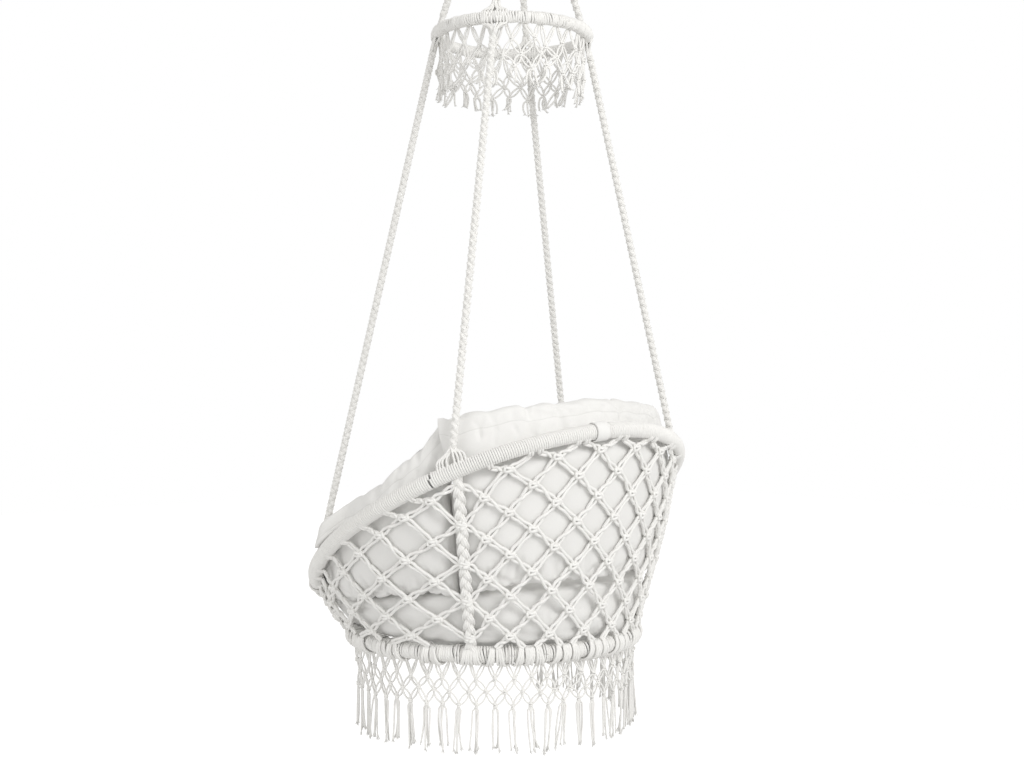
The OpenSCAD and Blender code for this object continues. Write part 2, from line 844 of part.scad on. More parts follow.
// two layers of crossed cords that carry the seat cushion
module seat_web() {
    pitch = 56;
    reach = seat_r - wrap_r - seat_gap;
    half = web_cord_d / 2;
    color("Ivory")
        on_seat()
            for (n = [-4:4]) {
                span = sqrt(pow(reach, 2) - pow(abs(n * pitch) + half, 2));
                rod([-span, n * pitch, web_layer_z], [span, n * pitch, web_layer_z], web_cord_d);
                rod([n * pitch, -span, -web_layer_z], [n * pitch, span, -web_layer_z], web_cord_d);
            }
}

module seat_fringe() {
    color("Ivory")
        on_seat()
            fringe(seat_r, wrap_r, 0, seat_fringe_count, seat_fringe_reach);
}

module seat_tassels() {
    color("Ivory")
        on_seat()
            tassels(seat_r, seat_fringe_count, seat_fringe_reach, tassel_len);
}

// round pad that lies in the bowl: its edge climbs the net towards the back and ends under the other cushions
module seat_cushion() {
    sides = 32;
    edge_inset = 12;
    floor_inset = 30;
    turn_inset = 8;
    turn_rise = 13;
    middle = [0, -seat_forward, seat_z];
    crown = middle + [0, 0, seat_pad_low + seat_pad_h];
    floor_r = seat_r - wrap_r - floor_inset;
    turn_r = seat_r - wrap_r - turn_inset;
    angles = [for (i = [0:sides - 1]) i * 360 / sides];
    function edge_z(a) = pad_bottom(a) - pad_gap;
    function level(r, z) = [for (a = angles) middle + r * level_out(a) + [0, 0, z]];
    function wall(share, inset) = [for (a = angles) inside_bowl(a, edge_z(a) * share, inset)];
    // rings of the upper side run from the edge to the middle
    function upper(x) = [
        for (p = wall(1, edge_inset))
            [p[0] * x, mix(middle[1], p[1], x), mix(crown[2], p[2], x * x)]
    ];
    color("White")
        stacked(
            [
                level(floor_r, seat_pad_low), level(turn_r, seat_pad_low + turn_rise),
                wall(0.4, 1), wall(0.8, 1), upper(1), upper(0.85), upper(0.6), upper(0.3)
            ],
            middle + [0, 0, seat_pad_low], crown
        );
}

module back_cushion() {
    color("White")
        wall_pad(-back_pad_end, back_pad_end, back_pad_t, 16, 9);
}

module left_cushion() {
    color("White")
        wall_pad(side_pad_start, side_pad_end, side_pad_t, 11, 8);
}

module right_cushion() {
    color("White")
        wall_pad(-side_pad_end, -side_pad_start, side_pad_t, 11, 8);
}

// smooth band round the wound rim near the middle of the back
module back_strap() {
    a = strap_angle;
    width = 30;
    inner_r = wrap_r + 0.6;
    thick = 1.6;
    color("White")
        place(rim_at(a) - rim_along(a) * width / 2, square_to([0, 0, 1], rim_along(a)), rim_along(a))
            difference() {
                cylinder(h = width, r = inner_r + thick, $fn = 64);
                translate([0, 0, -1])
                    cylinder(h = width + 2, r = inner_r, $fn = 64);
            }
}

swivel_eye();
swivel_jaw();
thrust_washer();
jaw_pin();
pin_clip();
stirrup();
bight(1);  // bight_left
bight(-1);  // bight_right
gather_wrap();
upper_rope(0);  // upper_rope_back_left
upper_rope(1);  // upper_rope_back_right
upper_rope(2);  // upper_rope_front_left
upper_rope(3);  // upper_rope_front_right
upper_fan(0);  // upper_fan_back_left
upper_fan(1);  // upper_fan_back_right
upper_fan(2);  // upper_fan_front_left
upper_fan(3);  // upper_fan_front_right
lower_rope(0);  // lower_rope_back_left
lower_rope(1);  // lower_rope_back_right
lower_rope(2);  // lower_rope_front_left
lower_rope(3);  // lower_rope_front_right
rim_fan(0);  // rim_fan_back_left
rim_fan(1);  // rim_fan_back_right
rim_fan(2);  // rim_fan_front_left
rim_fan(3);  // rim_fan_front_right
spreader_hoop();
spreader_wrap();
spreader_fringe();
spreader_tassels();
rim_hoop();
rim_wrap(-back_slit, back_slit);  // rim_wrap_back
rim_wrap(back_slit, front_slit);  // rim_wrap_left
rim_wrap(-front_slit, -back_slit);  // rim_wrap_right
rim_wrap(front_slit, 360 - front_slit);  // rim_wrap_front
seat_hoop();
seat_wrap();
rib(0);  // rib_back_left
rib(1);  // rib_back_right
rib(2);  // rib_front_left
rib(3);  // rib_front_right
net_back();
net_left();
net_right();
front_lacing();
seat_web();
seat_fringe();
seat_tassels();
seat_cushion();
back_cushion();
left_cushion();
right_cushion();
back_strap();
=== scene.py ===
"""Macrame hanging swing chair: plaited ropes, wound hoops, knotted net, fringes and stuffed cushions."""

import bmesh
import bpy
import numpy as np
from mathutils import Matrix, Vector

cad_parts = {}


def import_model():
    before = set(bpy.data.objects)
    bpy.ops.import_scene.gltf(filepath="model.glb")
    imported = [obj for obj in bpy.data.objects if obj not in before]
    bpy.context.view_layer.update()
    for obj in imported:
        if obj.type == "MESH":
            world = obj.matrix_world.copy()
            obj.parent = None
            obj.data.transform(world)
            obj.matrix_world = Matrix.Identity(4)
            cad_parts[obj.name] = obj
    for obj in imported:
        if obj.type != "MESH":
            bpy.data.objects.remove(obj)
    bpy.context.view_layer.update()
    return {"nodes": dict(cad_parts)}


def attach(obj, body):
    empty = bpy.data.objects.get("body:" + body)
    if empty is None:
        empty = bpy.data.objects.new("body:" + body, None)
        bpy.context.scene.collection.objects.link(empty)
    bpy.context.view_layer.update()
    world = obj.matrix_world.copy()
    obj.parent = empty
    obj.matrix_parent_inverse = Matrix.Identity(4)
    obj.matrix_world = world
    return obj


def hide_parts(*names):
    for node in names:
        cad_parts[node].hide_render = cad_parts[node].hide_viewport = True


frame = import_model()
chance = np.random.default_rng(11)

MM = 0.001

# Hoops, ropes and net, with the sizes of the construction
RIM_R = 400 * MM
SEAT_R = 291 * MM
SPREADER_R = 156.5 * MM
TILT = np.radians(29.5)
FRONT_RISE = 34.5 * MM
TUBE_R = 11 * MM
SPREADER_TUBE_R = 7 * MM
WRAP_R = 16 * MM
SPREADER_WRAP_R = 12 * MM
BAR_Z = -136 * MM
GATHER_TOP = -166 * MM
GATHER_BOTTOM = -210 * MM
GATHER_IN_R = 25.4 * MM
SPREADER_Z = -650 * MM
RIM_Z = -1659 * MM
SEAT_Z = RIM_Z - RIM_R * np.sin(TILT) - FRONT_RISE
RIM_FORWARD = 37 * MM
SEAT_FORWARD = 58 * MM
RIM_MIDDLE = np.array([0, -RIM_FORWARD, RIM_Z])
SEAT_MIDDLE = np.array([0, -SEAT_FORWARD, SEAT_Z])
SPREADER_MIDDLE = np.array([0, 0, SPREADER_Z])
RIM_UP = np.array([0, -np.sin(TILT), np.cos(TILT)])
UP = np.array([0.0, 0.0, 1.0])
BIGHT_R = 14.4 * MM
BIGHT_X = 9 * MM
ROPE_NAMES = ("back_left", "back_right", "front_left", "front_right")
RIM_ANGLES = (52, -52, 114.4, -114.4)
RIB_ANGLES = (50, -50, 124.8, -124.8)
SPREADER_ANGLES = (55, -55, 125, -125)
ROPE_SIDES = ((1, 1), (-1, 1), (1, -1), (-1, -1))
BACK_SLIT = 57.5
FRONT_SLIT = 119.9
HALF_SLIT = 0.25
RIB_COLUMN = 3.5
FRONT_COLUMN = 7.5
BACK_STEP = RIB_ANGLES[0] / RIB_COLUMN
SIDE_STEP = (RIB_ANGLES[2] - RIB_ANGLES[0]) / (FRONT_COLUMN - RIB_COLUMN)
LAST_ROW = 10
ROWS_CUT = 1.75
NET_LEAN = 10
LEAN_FROM = 0.35
NET_SWELL = 10 * MM

# Cords; a plait's bulge and step are in radii of its cord, and each turn of a winding has TURN_POINTS
PLAIT_CORD_R = 1.7 * MM
PLAIT_RADIUS = 3.6 * MM
PLAIT_SWING = 2.1 * MM
PLAIT_PITCH = 31 * MM
PLAIT_BULGE = 0.9
PLAIT_STEP = 1.3
NET_CORD_R = 3.2 * MM
FRINGE_ROWS = (46 * MM, 72 * MM, 97 * MM)
RIB_PITCH = 66 * MM
RIB_CORD_R = 2.7 * MM
TURN_POINTS = 12


def unit(v):
    v = np.asarray(v, float)
    return v / np.linalg.norm(v, axis=-1, keepdims=True)


def mix(a, b, t):
    return a + (b - a) * t


def square_to(v, axis):
    """The part of v that is square to axis, as a unit vector."""
    v = np.asarray(v, float)
    return unit(v - axis * np.sum(v * axis, axis=-1, keepdims=True))


def smooth(t):
    t = np.clip(t, 0, 1)
    return t * t * (3 - 2 * t)


def hump(t):
    """1 at 0, falling to nothing on both sides."""
    return np.exp(-(t**2))


def turned(x, y, turn):
    """Directions at these angles from x towards y."""
    return np.cos(turn)[..., None] * x + np.sin(turn)[..., None] * y


# Points and directions on the hoops, by the angle in degrees from the middle of the back


def sin_cos(a):
    return np.sin(np.radians(a)), np.cos(np.radians(a))


def rim_at(a):
    s, c = sin_cos(a)
    return np.stack(
        [RIM_R * s, RIM_R * c * np.cos(TILT) - RIM_FORWARD, RIM_Z + RIM_R * c * np.sin(TILT)], -1
    )


def rim_along(a):
    s, c = sin_cos(a)
    return np.stack([c, -s * np.cos(TILT), -s * np.sin(TILT)], -1)


def rim_radial(a):
    s, c = sin_cos(a)
    return np.stack([s, c * np.cos(TILT), c * np.sin(TILT)], -1)


def level_out(a):
    s, c = sin_cos(a)
    return np.stack([s, c, 0 * s], -1)


def level_along(a):
    s, c = sin_cos(a)
    return np.stack([c, -s, 0 * s], -1)


def seat_at(a):
    return SEAT_R * level_out(a) + SEAT_MIDDLE


def spreader_at(a):
    return SPREADER_R * level_out(a) + SPREADER_MIDDLE


def wall_at(a, v):
    return mix(rim_at(a), seat_at(a), np.asarray(v, float)[..., None])


def wall_down(a):
    return unit(seat_at(a) - rim_at(a))


def wall_side(a):
    return square_to(rim_along(a), wall_down(a))


def wall_out(a):
    return np.cross(wall_side(a), wall_down(a))


def wall_height(a):
    return rim_at(a)[..., 2] - SEAT_Z


def rim_out(a):
    s, c = sin_cos(a)
    return unit(np.stack([s * np.cos(TILT), c, 0 * s], -1))


# Net places, by column from the middle of the back and row from the rim


def past_ribs(c):
    return max(0, abs(c) - RIB_COLUMN)


def rim_row(c):
    return 0.2 + ROWS_CUT * past_ribs(c)


def net_v(c, r):
    return (r - rim_row(c)) / (LAST_ROW - rim_row(c))


def net_angle(c, v):
    """Columns of the side net lean forward towards the seat hoop."""
    lean = NET_LEAN * np.sin(np.pi * past_ribs(c) / (FRONT_COLUMN - RIB_COLUMN))
    upright = min(abs(c), RIB_COLUMN) * BACK_STEP + past_ribs(c) * SIDE_STEP
    return np.sign(c) * (upright + lean * (v - LEAN_FROM))


def net_swell(v):
    """How far the cushions push the net out of the straight line between the hoops."""
    return NET_SWELL * smooth(np.asarray(v) / 0.45) * (1 - 0.2 * smooth((np.asarray(v) - 0.6) / 0.4))


def net_at(a, v):
    return wall_at(a, v) + wall_out(a) * net_swell(v)[..., None]


def spot_at(c, r):
    v = net_v(c, r)
    return net_at(net_angle(c, v), v)


def lengths(line):
    step = np.linalg.norm(np.diff(line, axis=-2), axis=-1)
    return np.concatenate([np.zeros(step.shape[:-1] + (1,)), np.cumsum(step, -1)], -1)


class Skein:
    """Gathers swept round cords into one mesh."""

    def __init__(self):
        self.points, self.quads, self.caps, self.uvs = [], [], [], []
        self.count = 0

    def lay(self, lines, radius, reference, sides=6):
        """Sweeps cords along one line of points, or along several with the same number of points."""
        lines = np.asarray(lines, float)
        if lines.ndim == 2:
            lines = lines[None]
        m, n = lines.shape[:2]
        along = unit(np.gradient(lines, axis=1))
        front = square_to(np.broadcast_to(reference, lines.shape), along)
        side = np.cross(along, front)
        turn = np.linspace(0, 2 * np.pi, sides, endpoint=False)
        ring = front[:, :, None] * np.cos(turn)[:, None] + side[:, :, None] * np.sin(turn)[:, None]
        radius = np.broadcast_to(radius, (m, n))
        self.points.append((lines[:, :, None] + ring * radius[:, :, None, None]).reshape(-1, 3))
        self._faces(m, n, sides, lengths(lines))

    def _faces(self, m, n, sides, run):
        j, i, k = np.meshgrid(np.arange(m), np.arange(n - 1), np.arange(sides), indexing="ij")
        first = self.count + (j * n + i) * sides
        after = (k + 1) % sides
        quad = np.stack([first + k, first + after, first + sides + after, first + sides + k], -1)
        self.quads.append(quad.reshape(-1, 4))
        here, there = run[j, i], run[j, i + 1]
        low, high = k / sides, (k + 1) / sides
        uv = np.stack([here, low, here, high, there, high, there, low], -1)
        self.uvs.append(uv.reshape(-1, 2))
        starts = self.count + np.arange(m)[:, None] * n * sides + np.arange(sides)[::-1]
        ends = self.count + (np.arange(m)[:, None] * n + n - 1) * sides + np.arange(sides)
        self.caps += starts.tolist() + ends.tolist()
        self.count += m * n * sides

    def build(self, name, material, node):
        """Makes the mesh, which stands for a node of the chair."""
        mesh = bpy.data.meshes.new(name)
        quads = np.concatenate(self.quads)
        mesh.from_pydata(np.concatenate(self.points), [], quads.tolist() + self.caps)
        layer = mesh.uv_layers.new(name="run")
        uv = np.zeros((len(mesh.loops), 2))
        uv[: 4 * len(quads)] = np.concatenate(self.uvs)
        layer.data.foreach_set("uv", uv.ravel())
        piece(finished(name, mesh), material, "cord", node)


def show(obj):
    bpy.context.scene.collection.objects.link(obj)


def finished(name, mesh):
    mesh.shade_smooth()
    mesh.update()
    obj = bpy.data.objects.new(name, mesh)
    show(obj)
    return obj


def piece(obj, material, slot, *nodes):
    """The object stands for these nodes of the hanging chair."""
    obj.data.materials.append(material)
    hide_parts(*nodes)
    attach(obj, "chair")


# Materials


COTTON_DARK = (0.81, 0.80, 0.775)
COTTON_LIGHT = (0.91, 0.905, 0.885)
CANVAS_DARK = (0.76, 0.755, 0.735)
CANVAS_LIGHT = (0.89, 0.885, 0.87)
STEEL_DARK = (0.5, 0.51, 0.52)
STEEL_LIGHT = (0.66, 0.67, 0.68)
BRONZE_DARK = (0.52, 0.38, 0.2)
BRONZE_LIGHT = (0.7, 0.54, 0.3)
PAINT_DARK = (0.17, 0.17, 0.17)
PAINT_LIGHT = (0.24, 0.24, 0.235)
PLIES = 3.0
THREAD_PITCH = 1.3 * MM


class Shader:
    """A material's node tree with short ways to add and join nodes."""

    def __init__(self, name):
        self.material = bpy.data.materials.new(name)
        self.material.use_nodes = True
        self.tree = self.material.node_tree

    def feed(self, node, inputs):
        """Sets a node's inputs, or joins other nodes' outputs to them."""
        for name, value in inputs.items():
            if isinstance(value, bpy.types.NodeSocket):
                self.tree.links.new(value, node.inputs[name])
            else:
                node.inputs[name].default_value = value

    def node(self, kind, inputs, **settings):
        node = self.tree.nodes.new("ShaderNode" + kind)
        for key, value in settings.items():
            setattr(node, key, value)
        self.feed(node, inputs)
        return node

    def places(self):
        return self.node("TexCoord", {}).outputs

    def math(self, operation, a, b=0.0):
        return self.node("Math", {0: a, 1: b}, operation=operation).outputs[0]

    def plus(self, a, b):
        return self.math("ADD", a, b)

    def times(self, a, b):
        return self.math("MULTIPLY", a, b)

    def noise(self, vector, scale, detail=3.0):
        inputs = {"Vector": vector, "Scale": scale, "Detail": detail, "Roughness": 0.55}
        return self.node("TexNoise", inputs).outputs["Fac"]

    def blend(self, factor, dark, light):
        node = self.node("Mix", {"Factor": factor}, data_type="RGBA")
        colours = [socket for socket in node.inputs if socket.type == "RGBA"]
        for socket, colour in zip(colours, (dark, light)):
            socket.default_value = (*colour, 1)
        return next(socket for socket in node.outputs if socket.type == "RGBA")

    def bump(self, height, strength, distance):
        inputs = {"Height": height, "Strength": strength, "Distance": distance}
        return self.node("Bump", inputs).outputs["Normal"]

    def finish(self, inputs):
        self.feed(self.tree.nodes["Principled BSDF"], inputs)
        return self.material


def cord_material(name, ply_pitch):
    """Twisted cotton: plies that run round the cord, with fibres, a little unevenness in its colour and
    painted shade in the grooves between the plies.
    """
    shader = Shader(name)
    place = shader.places()
    flat = shader.node("SeparateXYZ", {0: place["UV"]}).outputs
    turns = shader.plus(shader.math("DIVIDE", flat[0], ply_pitch), shader.times(flat[1], PLIES))
    ply = shader.math("ABSOLUTE", shader.math("SINE", shader.times(turns, np.pi)))
    fibres = shader.noise(place["Object"], 900.0)
    cloud = shader.noise(place["Object"], 25.0)
    height = shader.plus(ply, shader.times(fibres, 0.5))
    # Painted shade: the colour follows the plies' height, darker in the grooves between them, mixed with a
    # random cloud of tone.
    tone = shader.plus(shader.times(ply, 0.5), shader.times(cloud, 0.6))
    return shader.finish({
        "Base Color": shader.blend(tone, COTTON_DARK, COTTON_LIGHT),
        "Roughness": 0.9,
        "Sheen Weight": 0.15,
        "Specular IOR Level": 0.15,
        "Normal": shader.bump(height, 0.4, 0.5 * MM),
    })


def canvas_material():
    """Plain woven cotton, with threads of uneven thickness, a groove along the seam and painted shade as a
    narrow dark line in it.
    """
    shader = Shader("canvas")
    place = shader.places()
    flat = shader.node("SeparateXYZ", {0: place["UV"]}).outputs
    thread = 2 * np.pi / THREAD_PITCH
    warp = shader.math("SINE", shader.times(flat[0], thread))
    weft = shader.math("SINE", shader.times(flat[1], thread))
    weave = shader.times(warp, weft)
    slubs = shader.noise(place["Object"], 420.0)
    cloud = shader.noise(place["Object"], 9.0, detail=2.0)
    # The seam mask is 0 along the seam's middle and 1 a little away from it. It sinks the bump into a
    # groove and paints shade into the colour there, as a narrow dark line.
    limits = {"Value": shader.math("ABSOLUTE", flat[1]), "From Min": 0.3 * MM, "From Max": 1.3 * MM}
    seam = shader.node("MapRange", limits, interpolation_type="SMOOTHSTEP").outputs[0]
    height = shader.plus(shader.times(weave, 0.35), slubs)
    height = shader.plus(height, shader.times(seam, 4.0))
    tone = shader.plus(shader.times(slubs, 0.35), shader.times(cloud, 0.6))
    return shader.finish({
        "Base Color": shader.blend(shader.times(tone, seam), CANVAS_DARK, CANVAS_LIGHT),
        "Roughness": 0.92,
        "Sheen Weight": 0.1,
        "Specular IOR Level": 0.15,
        "Normal": shader.bump(height, 0.35, 0.25 * MM),
    })


def metal_material(name, dark, light, roughness):
    """Brushed metal with fine lines and worn spots."""
    shader = Shader(name)
    place = shader.places()["Object"]
    stretched = shader.node("Mapping", {"Vector": place, "Scale": (1, 1, 0.05)}).outputs[0]
    lines = shader.noise(stretched, 1500.0)
    worn = shader.noise(place, 60.0)
    return shader.finish({
        "Base Color": shader.blend(worn, dark, light),
        "Metallic": 1.0,
        "Roughness": shader.plus(shader.times(worn, 0.18), roughness),
        "Normal": shader.bump(lines, 0.12, 0.1 * MM),
    })


def paint_material():
    """Dark powder coat on the hoops' tubes."""
    shader = Shader("hoop_paint")
    place = shader.places()["Object"]
    grain = shader.noise(place, 700.0)
    cloud = shader.noise(place, 30.0)
    return shader.finish({
        "Base Color": shader.blend(cloud, PAINT_DARK, PAINT_LIGHT),
        "Roughness": 0.45,
        "Normal": shader.bump(grain, 0.2, 0.15 * MM),
    })


rope_cotton = cord_material("rope_cotton", 9 * MM)
net_cotton = cord_material("net_cotton", 13 * MM)
fringe_cotton = cord_material("fringe_cotton", 8 * MM)
canvas = canvas_material()


# Ropes


def plait(line, front):
    """Four strands of three cords plaited round a line, two each way, over and under each other."""
    along = unit(np.gradient(line, axis=0))
    front = square_to(np.broadcast_to(front, line.shape), along)
    side = np.cross(along, front)
    turn = 2 * np.pi * lengths(line) / PLAIT_PITCH
    cords, spokes = [], []
    for hand in (1, -1):
        away = PLAIT_RADIUS + hand * PLAIT_SWING * np.cos(2 * turn)
        for start in (np.pi / 4, 5 * np.pi / 4):
            spoke = turned(front, side, start + hand * turn)
            strand = line + spoke * away[:, None]
            beside = unit(np.cross(spoke, np.gradient(strand, axis=0)))
            for place in (-1, 0, 1):
                bulge = PLAIT_BULGE * (1 - abs(place))
                cords.append(strand + (beside * PLAIT_STEP * place + spoke * bulge) * PLAIT_CORD_R)
                spokes.append(spoke)
    return np.array(cords), np.array(spokes)


def straight(p, q, step=1.5 * MM):
    count = int(np.linalg.norm(q - p) / step)
    return mix(p, q, np.linspace(0, 1, count)[:, None])


def lay_plait(skein, line, front):
    cords, spokes = plait(line, front)
    skein.lay(cords, PLAIT_CORD_R, spokes)
    return cords


def curve(p, q, r, s, count):
    """Points on the curve that leaves p towards q and comes to s from r."""
    t = np.linspace(0, 1, count)[:, None]
    return (1 - t) ** 3 * p + 3 * (1 - t) ** 2 * t * q + 3 * (1 - t) * t**2 * r + t**3 * s


def lay_fan(skein, tips, heading, foot, along, hoop, shift=0.0):
    """The rope's cords open and straddle a hoop, a little to one side.

    hoop holds the hoop's middle, its winding's radius, the fan's half width, the angle from the top of the
    tube where the cords slip under the winding, and how far they swell like a bell (0: like a trumpet)."""
    middle, hoop_r, spread, grip, bell = hoop
    up = square_to(-heading, along)
    out = np.cross(along, up)
    inward = middle - foot
    bend = inward * (spread / np.linalg.norm(inward)) ** 2 / 2
    outward = sorted(range(len(tips)), key=lambda k: tips[k] @ out)
    half = len(tips) // 2
    for side, group in ((-1, outward[:half]), (1, outward[half:])):
        group = sorted(group, key=lambda k: tips[k] @ along)
        for place in range(FAN_CORDS):
            tip = tips[group[place * half // FAN_CORDS]]
            share = squared(2 * place / (FAN_CORDS - 1) - 1, 0.7)
            aside = shift + spread * share + chance.normal(0, 0.8 * MM)
            centre = foot + along * aside + bend * (aside / spread) ** 2
            reach = np.linalg.norm(tip - centre)
            flare = tip + heading * reach * mix(0.5, 0.2, bell) + along * aside * 0.5 * bell
            arrival = mix(0.12, 0.4, bell) * reach
            lay_fan_cord(skein, tip, flare, centre, up, out * side, hoop_r, grip, arrival)


def lay_fan_cord(skein, tip, flare, centre, up, out, hoop_r, grip, arrival):
    """One cord from the rope's end over a hoop's top and down to where it slips under the winding."""
    turn = np.radians(np.linspace(0.3, 1.5, 4) * grip)
    depth = np.array([1.2, 0.8, -1.2, -4.5]) * MM
    arc = centre + turned(up, out, turn) * (hoop_r + depth)[:, None]
    line = curve(tip, flare, arc[0] + up * arrival, arc[0], 14)
    skein.lay(np.concatenate([line, arc[1:]]), FAN_CORD_R, np.cross(up, out), sides=7)


FAN_CORDS = 8
FAN_CORD_R = 2.2 * MM
RIM_FAN_H = 44 * MM
RIM_FAN_SHIFT = 8 * MM
RIM_FAN = (RIM_MIDDLE, WRAP_R, 28 * MM, 30, 0.8)
UPPER_FAN_H = 38 * MM
UPPER_FAN = (SPREADER_MIDDLE, SPREADER_WRAP_R, 24 * MM, 60, 0)


def lower_rope(k):
    name = ROPE_NAMES[k]
    foot = rim_at(RIM_ANGLES[k])
    head = spreader_at(SPREADER_ANGLES[k])
    heading = unit(foot - head)
    along = rim_along(RIM_ANGLES[k])
    skein, fan = Skein(), Skein()
    line = straight(head + heading * UPPER_FAN_H, foot - heading * RIM_FAN_H)
    cords = lay_plait(skein, line, along)
    lay_fan(skein, cords[:, 0], -heading, head, level_along(SPREADER_ANGLES[k]), UPPER_FAN)
    skein.build("lower_rope_plait_" + name, rope_cotton, "lower_rope_" + name)
    uphill = -np.sign(RIM_ANGLES[k]) * RIM_FAN_SHIFT
    lay_fan(fan, cords[:, -1], heading, foot, along, RIM_FAN, uphill)
    fan.build("rim_fan_strands_" + name, rope_cotton, "rim_fan_" + name)


def upper_rope(k):
    name = ROPE_NAMES[k]
    foot = spreader_at(SPREADER_ANGLES[k])
    head = np.array([BIGHT_X * ROPE_SIDES[k][0], BIGHT_R * ROPE_SIDES[k][1], GATHER_BOTTOM])
    heading = unit(foot - head)
    along = level_along(SPREADER_ANGLES[k])
    skein, fan = Skein(), Skein()
    cords = lay_plait(skein, straight(head, foot - heading * UPPER_FAN_H), along)
    skein.build("upper_rope_plait_" + name, rope_cotton, "upper_rope_" + name)
    lay_fan(fan, cords[:, -1], heading, foot, along, UPPER_FAN)
    fan.build("upper_fan_strands_" + name, rope_cotton, "upper_fan_" + name)


def bight(name, x):
    """A loop of rope over the stirrup's bar, with its two legs down to the winding's lower end."""
    turn = np.linspace(0, np.pi, 40)
    arc = np.stack([0 * turn + x, -BIGHT_R * np.cos(turn), BAR_Z + BIGHT_R * np.sin(turn)], -1)
    rise = straight(np.array([x, -BIGHT_R, GATHER_BOTTOM]), arc[0])
    fall = straight(arc[-1], np.array([x, BIGHT_R, GATHER_BOTTOM]))
    skein = Skein()
    lay_plait(skein, np.concatenate([rise[:-1], arc, fall[1:]]), np.array([1.0, 0, 0]))
    skein.build(name + "_plait", rope_cotton, name)


# Windings


def lay_winding(skein, centre, radial, up, angles, turns, ring_r, cord_r):
    """A cord wound round a hoop; ring_r is the distance of its middle line from the hoop's."""
    spoke = turned(radial(angles), up, 2 * np.pi * turns)
    skein.lay(centre(angles) + spoke * ring_r[:, None], cord_r, spoke)


def rim_wrap(name, start, stop):
    """Very close turns of one thickness."""
    pitch, cord_r = 4.5 * MM, 2.3 * MM
    count = int(np.radians(stop - start) * RIM_R / pitch)
    t = np.linspace(0, 1, TURN_POINTS * count + 1)
    turns = count * t
    ripple = 0.25 * MM * np.sin(1.7 * turns) * np.sin(0.31 * turns)
    ring_r = TUBE_R + cord_r + ripple
    skein = Skein()
    lay_winding(skein, rim_at, rim_radial, RIM_UP, mix(start, stop, t), turns, ring_r, cord_r)
    skein.build(name + "_winding", net_cotton, name)


def uneven(count, spread):
    """Smooth chance numbers, one for each turn."""
    raw = chance.normal(0, spread, count + 1)
    return np.convolve(raw, [0.25, 0.5, 0.25], mode="same")


def loose_winding(hoop, centre, tube_r, hoop_r, pitch):
    """Turns that slant and bunch a little, with a few gaps between them."""
    cord_r = 2.6 * MM
    count = int(2 * np.pi * hoop_r / pitch)
    turns = np.linspace(0, count, TURN_POINTS * count + 1)
    whole = np.arange(count + 1)
    drift = np.interp(turns, whole, uneven(count, 0.3))
    lift = np.interp(turns, whole, np.abs(uneven(count, 1.1))) * MM
    slant = np.sin(2 * np.pi * turns + 0.4) * np.interp(turns, whole, uneven(count, 0.6))
    angles = 360 * (turns + drift + slant) / count
    skein = Skein()
    lay_winding(skein, centre, level_out, UP, angles, turns, tube_r + cord_r + lift, cord_r)
    skein.build(hoop + "_winding", net_cotton, hoop + "_wrap")


def gather_wrap():
    cord_r = 2.2 * MM
    count = 10
    t = np.linspace(0, 1, 40 * count + 1)
    turn = 2 * np.pi * count * t
    ring_r = GATHER_IN_R + cord_r
    height = mix(GATHER_TOP - cord_r, GATHER_BOTTOM + cord_r, t)
    line = np.stack([ring_r * np.cos(turn), ring_r * np.sin(turn), height], -1)
    skein = Skein()
    skein.lay(line, cord_r, line * np.array([1, 1, 0]), sides=8)
    skein.build("gather_winding", net_cotton, "gather_wrap")


# Net


def lay_doubled(skein, a, b, out, eye_a=1.0, eye_b=1.0):
    """Two cords side by side from a to b with an eye beside each knot; most cross once in the middle."""
    t = np.linspace(0, 1, 24)
    lat = unit(np.cross(out, b - a))
    opening = eye_a * hump((t - 0.22) / 0.1) + eye_b * hump((t - 0.78) / 0.1)
    apart = (2.7 + 1.7 * opening) * MM
    crossing = np.pi if chance.random() < 0.6 else 0.35
    twist = crossing * smooth((t - 0.3) / 0.4)
    sag = chance.normal(0, 1.2 * MM) * np.sin(np.pi * t)
    base = mix(a, b, t[:, None]) + lat * sag[:, None]
    offset = lat * (apart * np.cos(twist))[:, None] + out * (apart * 0.8 * np.sin(twist))[:, None]
    skein.lay(np.array([base + offset, base - offset]), NET_CORD_R, out)


def lay_ring(skein, centre, x, y, cord_r):
    """A closed loop of cord round a centre, with half axes x and y."""
    turn = np.linspace(0, 2 * np.pi, 19)
    skein.lay(centre + turned(x, y, turn), cord_r, turned(unit(x), unit(y), turn))


def lay_knot(skein, centre, side, down, out):
    """A flat knot: two loops round the crossing cords and a lump at each side."""
    tilt = chance.normal(0, 0.12)
    across = unit(side + down * tilt)
    for step in (-1, 1):
        loop = centre + down * step * 3.0 * MM
        lay_ring(skein, loop, (across + down * 0.22 * step) * 7.0 * MM, out * 5.6 * MM, NET_CORD_R)
        lump = centre + across * step * 6.2 * MM + out * 1.2 * MM
        lean = (out * 0.8 + across * step * 0.5) * 4.0 * MM
        lay_ring(skein, lump, down * 4.2 * MM, lean, NET_CORD_R * 0.95)


def has_knot(c, r):
    """Knots stand at every other place, from half a row below the rim."""
    return r > rim_row(c) + 0.5 and (int(round(2 * c)) + r) % 2 == 0


def net_spots(start, stop):
    """Columns and rows of a panel's knots."""
    columns = np.arange(2 * start + 1, 2 * stop) / 2
    return [(c, r) for c in columns for r in range(1, LAST_ROW) if has_knot(c, r)]


def rim_tie(skein, start, angle):
    """A doubled cord from a knot to the rim, where its ends slip up under the winding."""
    along = rim_along(angle)
    down = square_to(wall_down(angle), along)
    out = square_to(wall_out(angle), along)
    low = rim_at(angle) + down * (WRAP_R + NET_CORD_R)
    lay_doubled(skein, start, low, wall_out(angle), eye_b=0.2)
    turn = np.radians(np.linspace(0, 48, 8))
    away = WRAP_R + np.linspace(3.2, -3.5, 8) * MM
    for step in (-1, 1):
        centre = rim_at(angle) + along * step * 3 * MM
        skein.lay(centre + away[:, None] * turned(down, out, turn), NET_CORD_R, along)


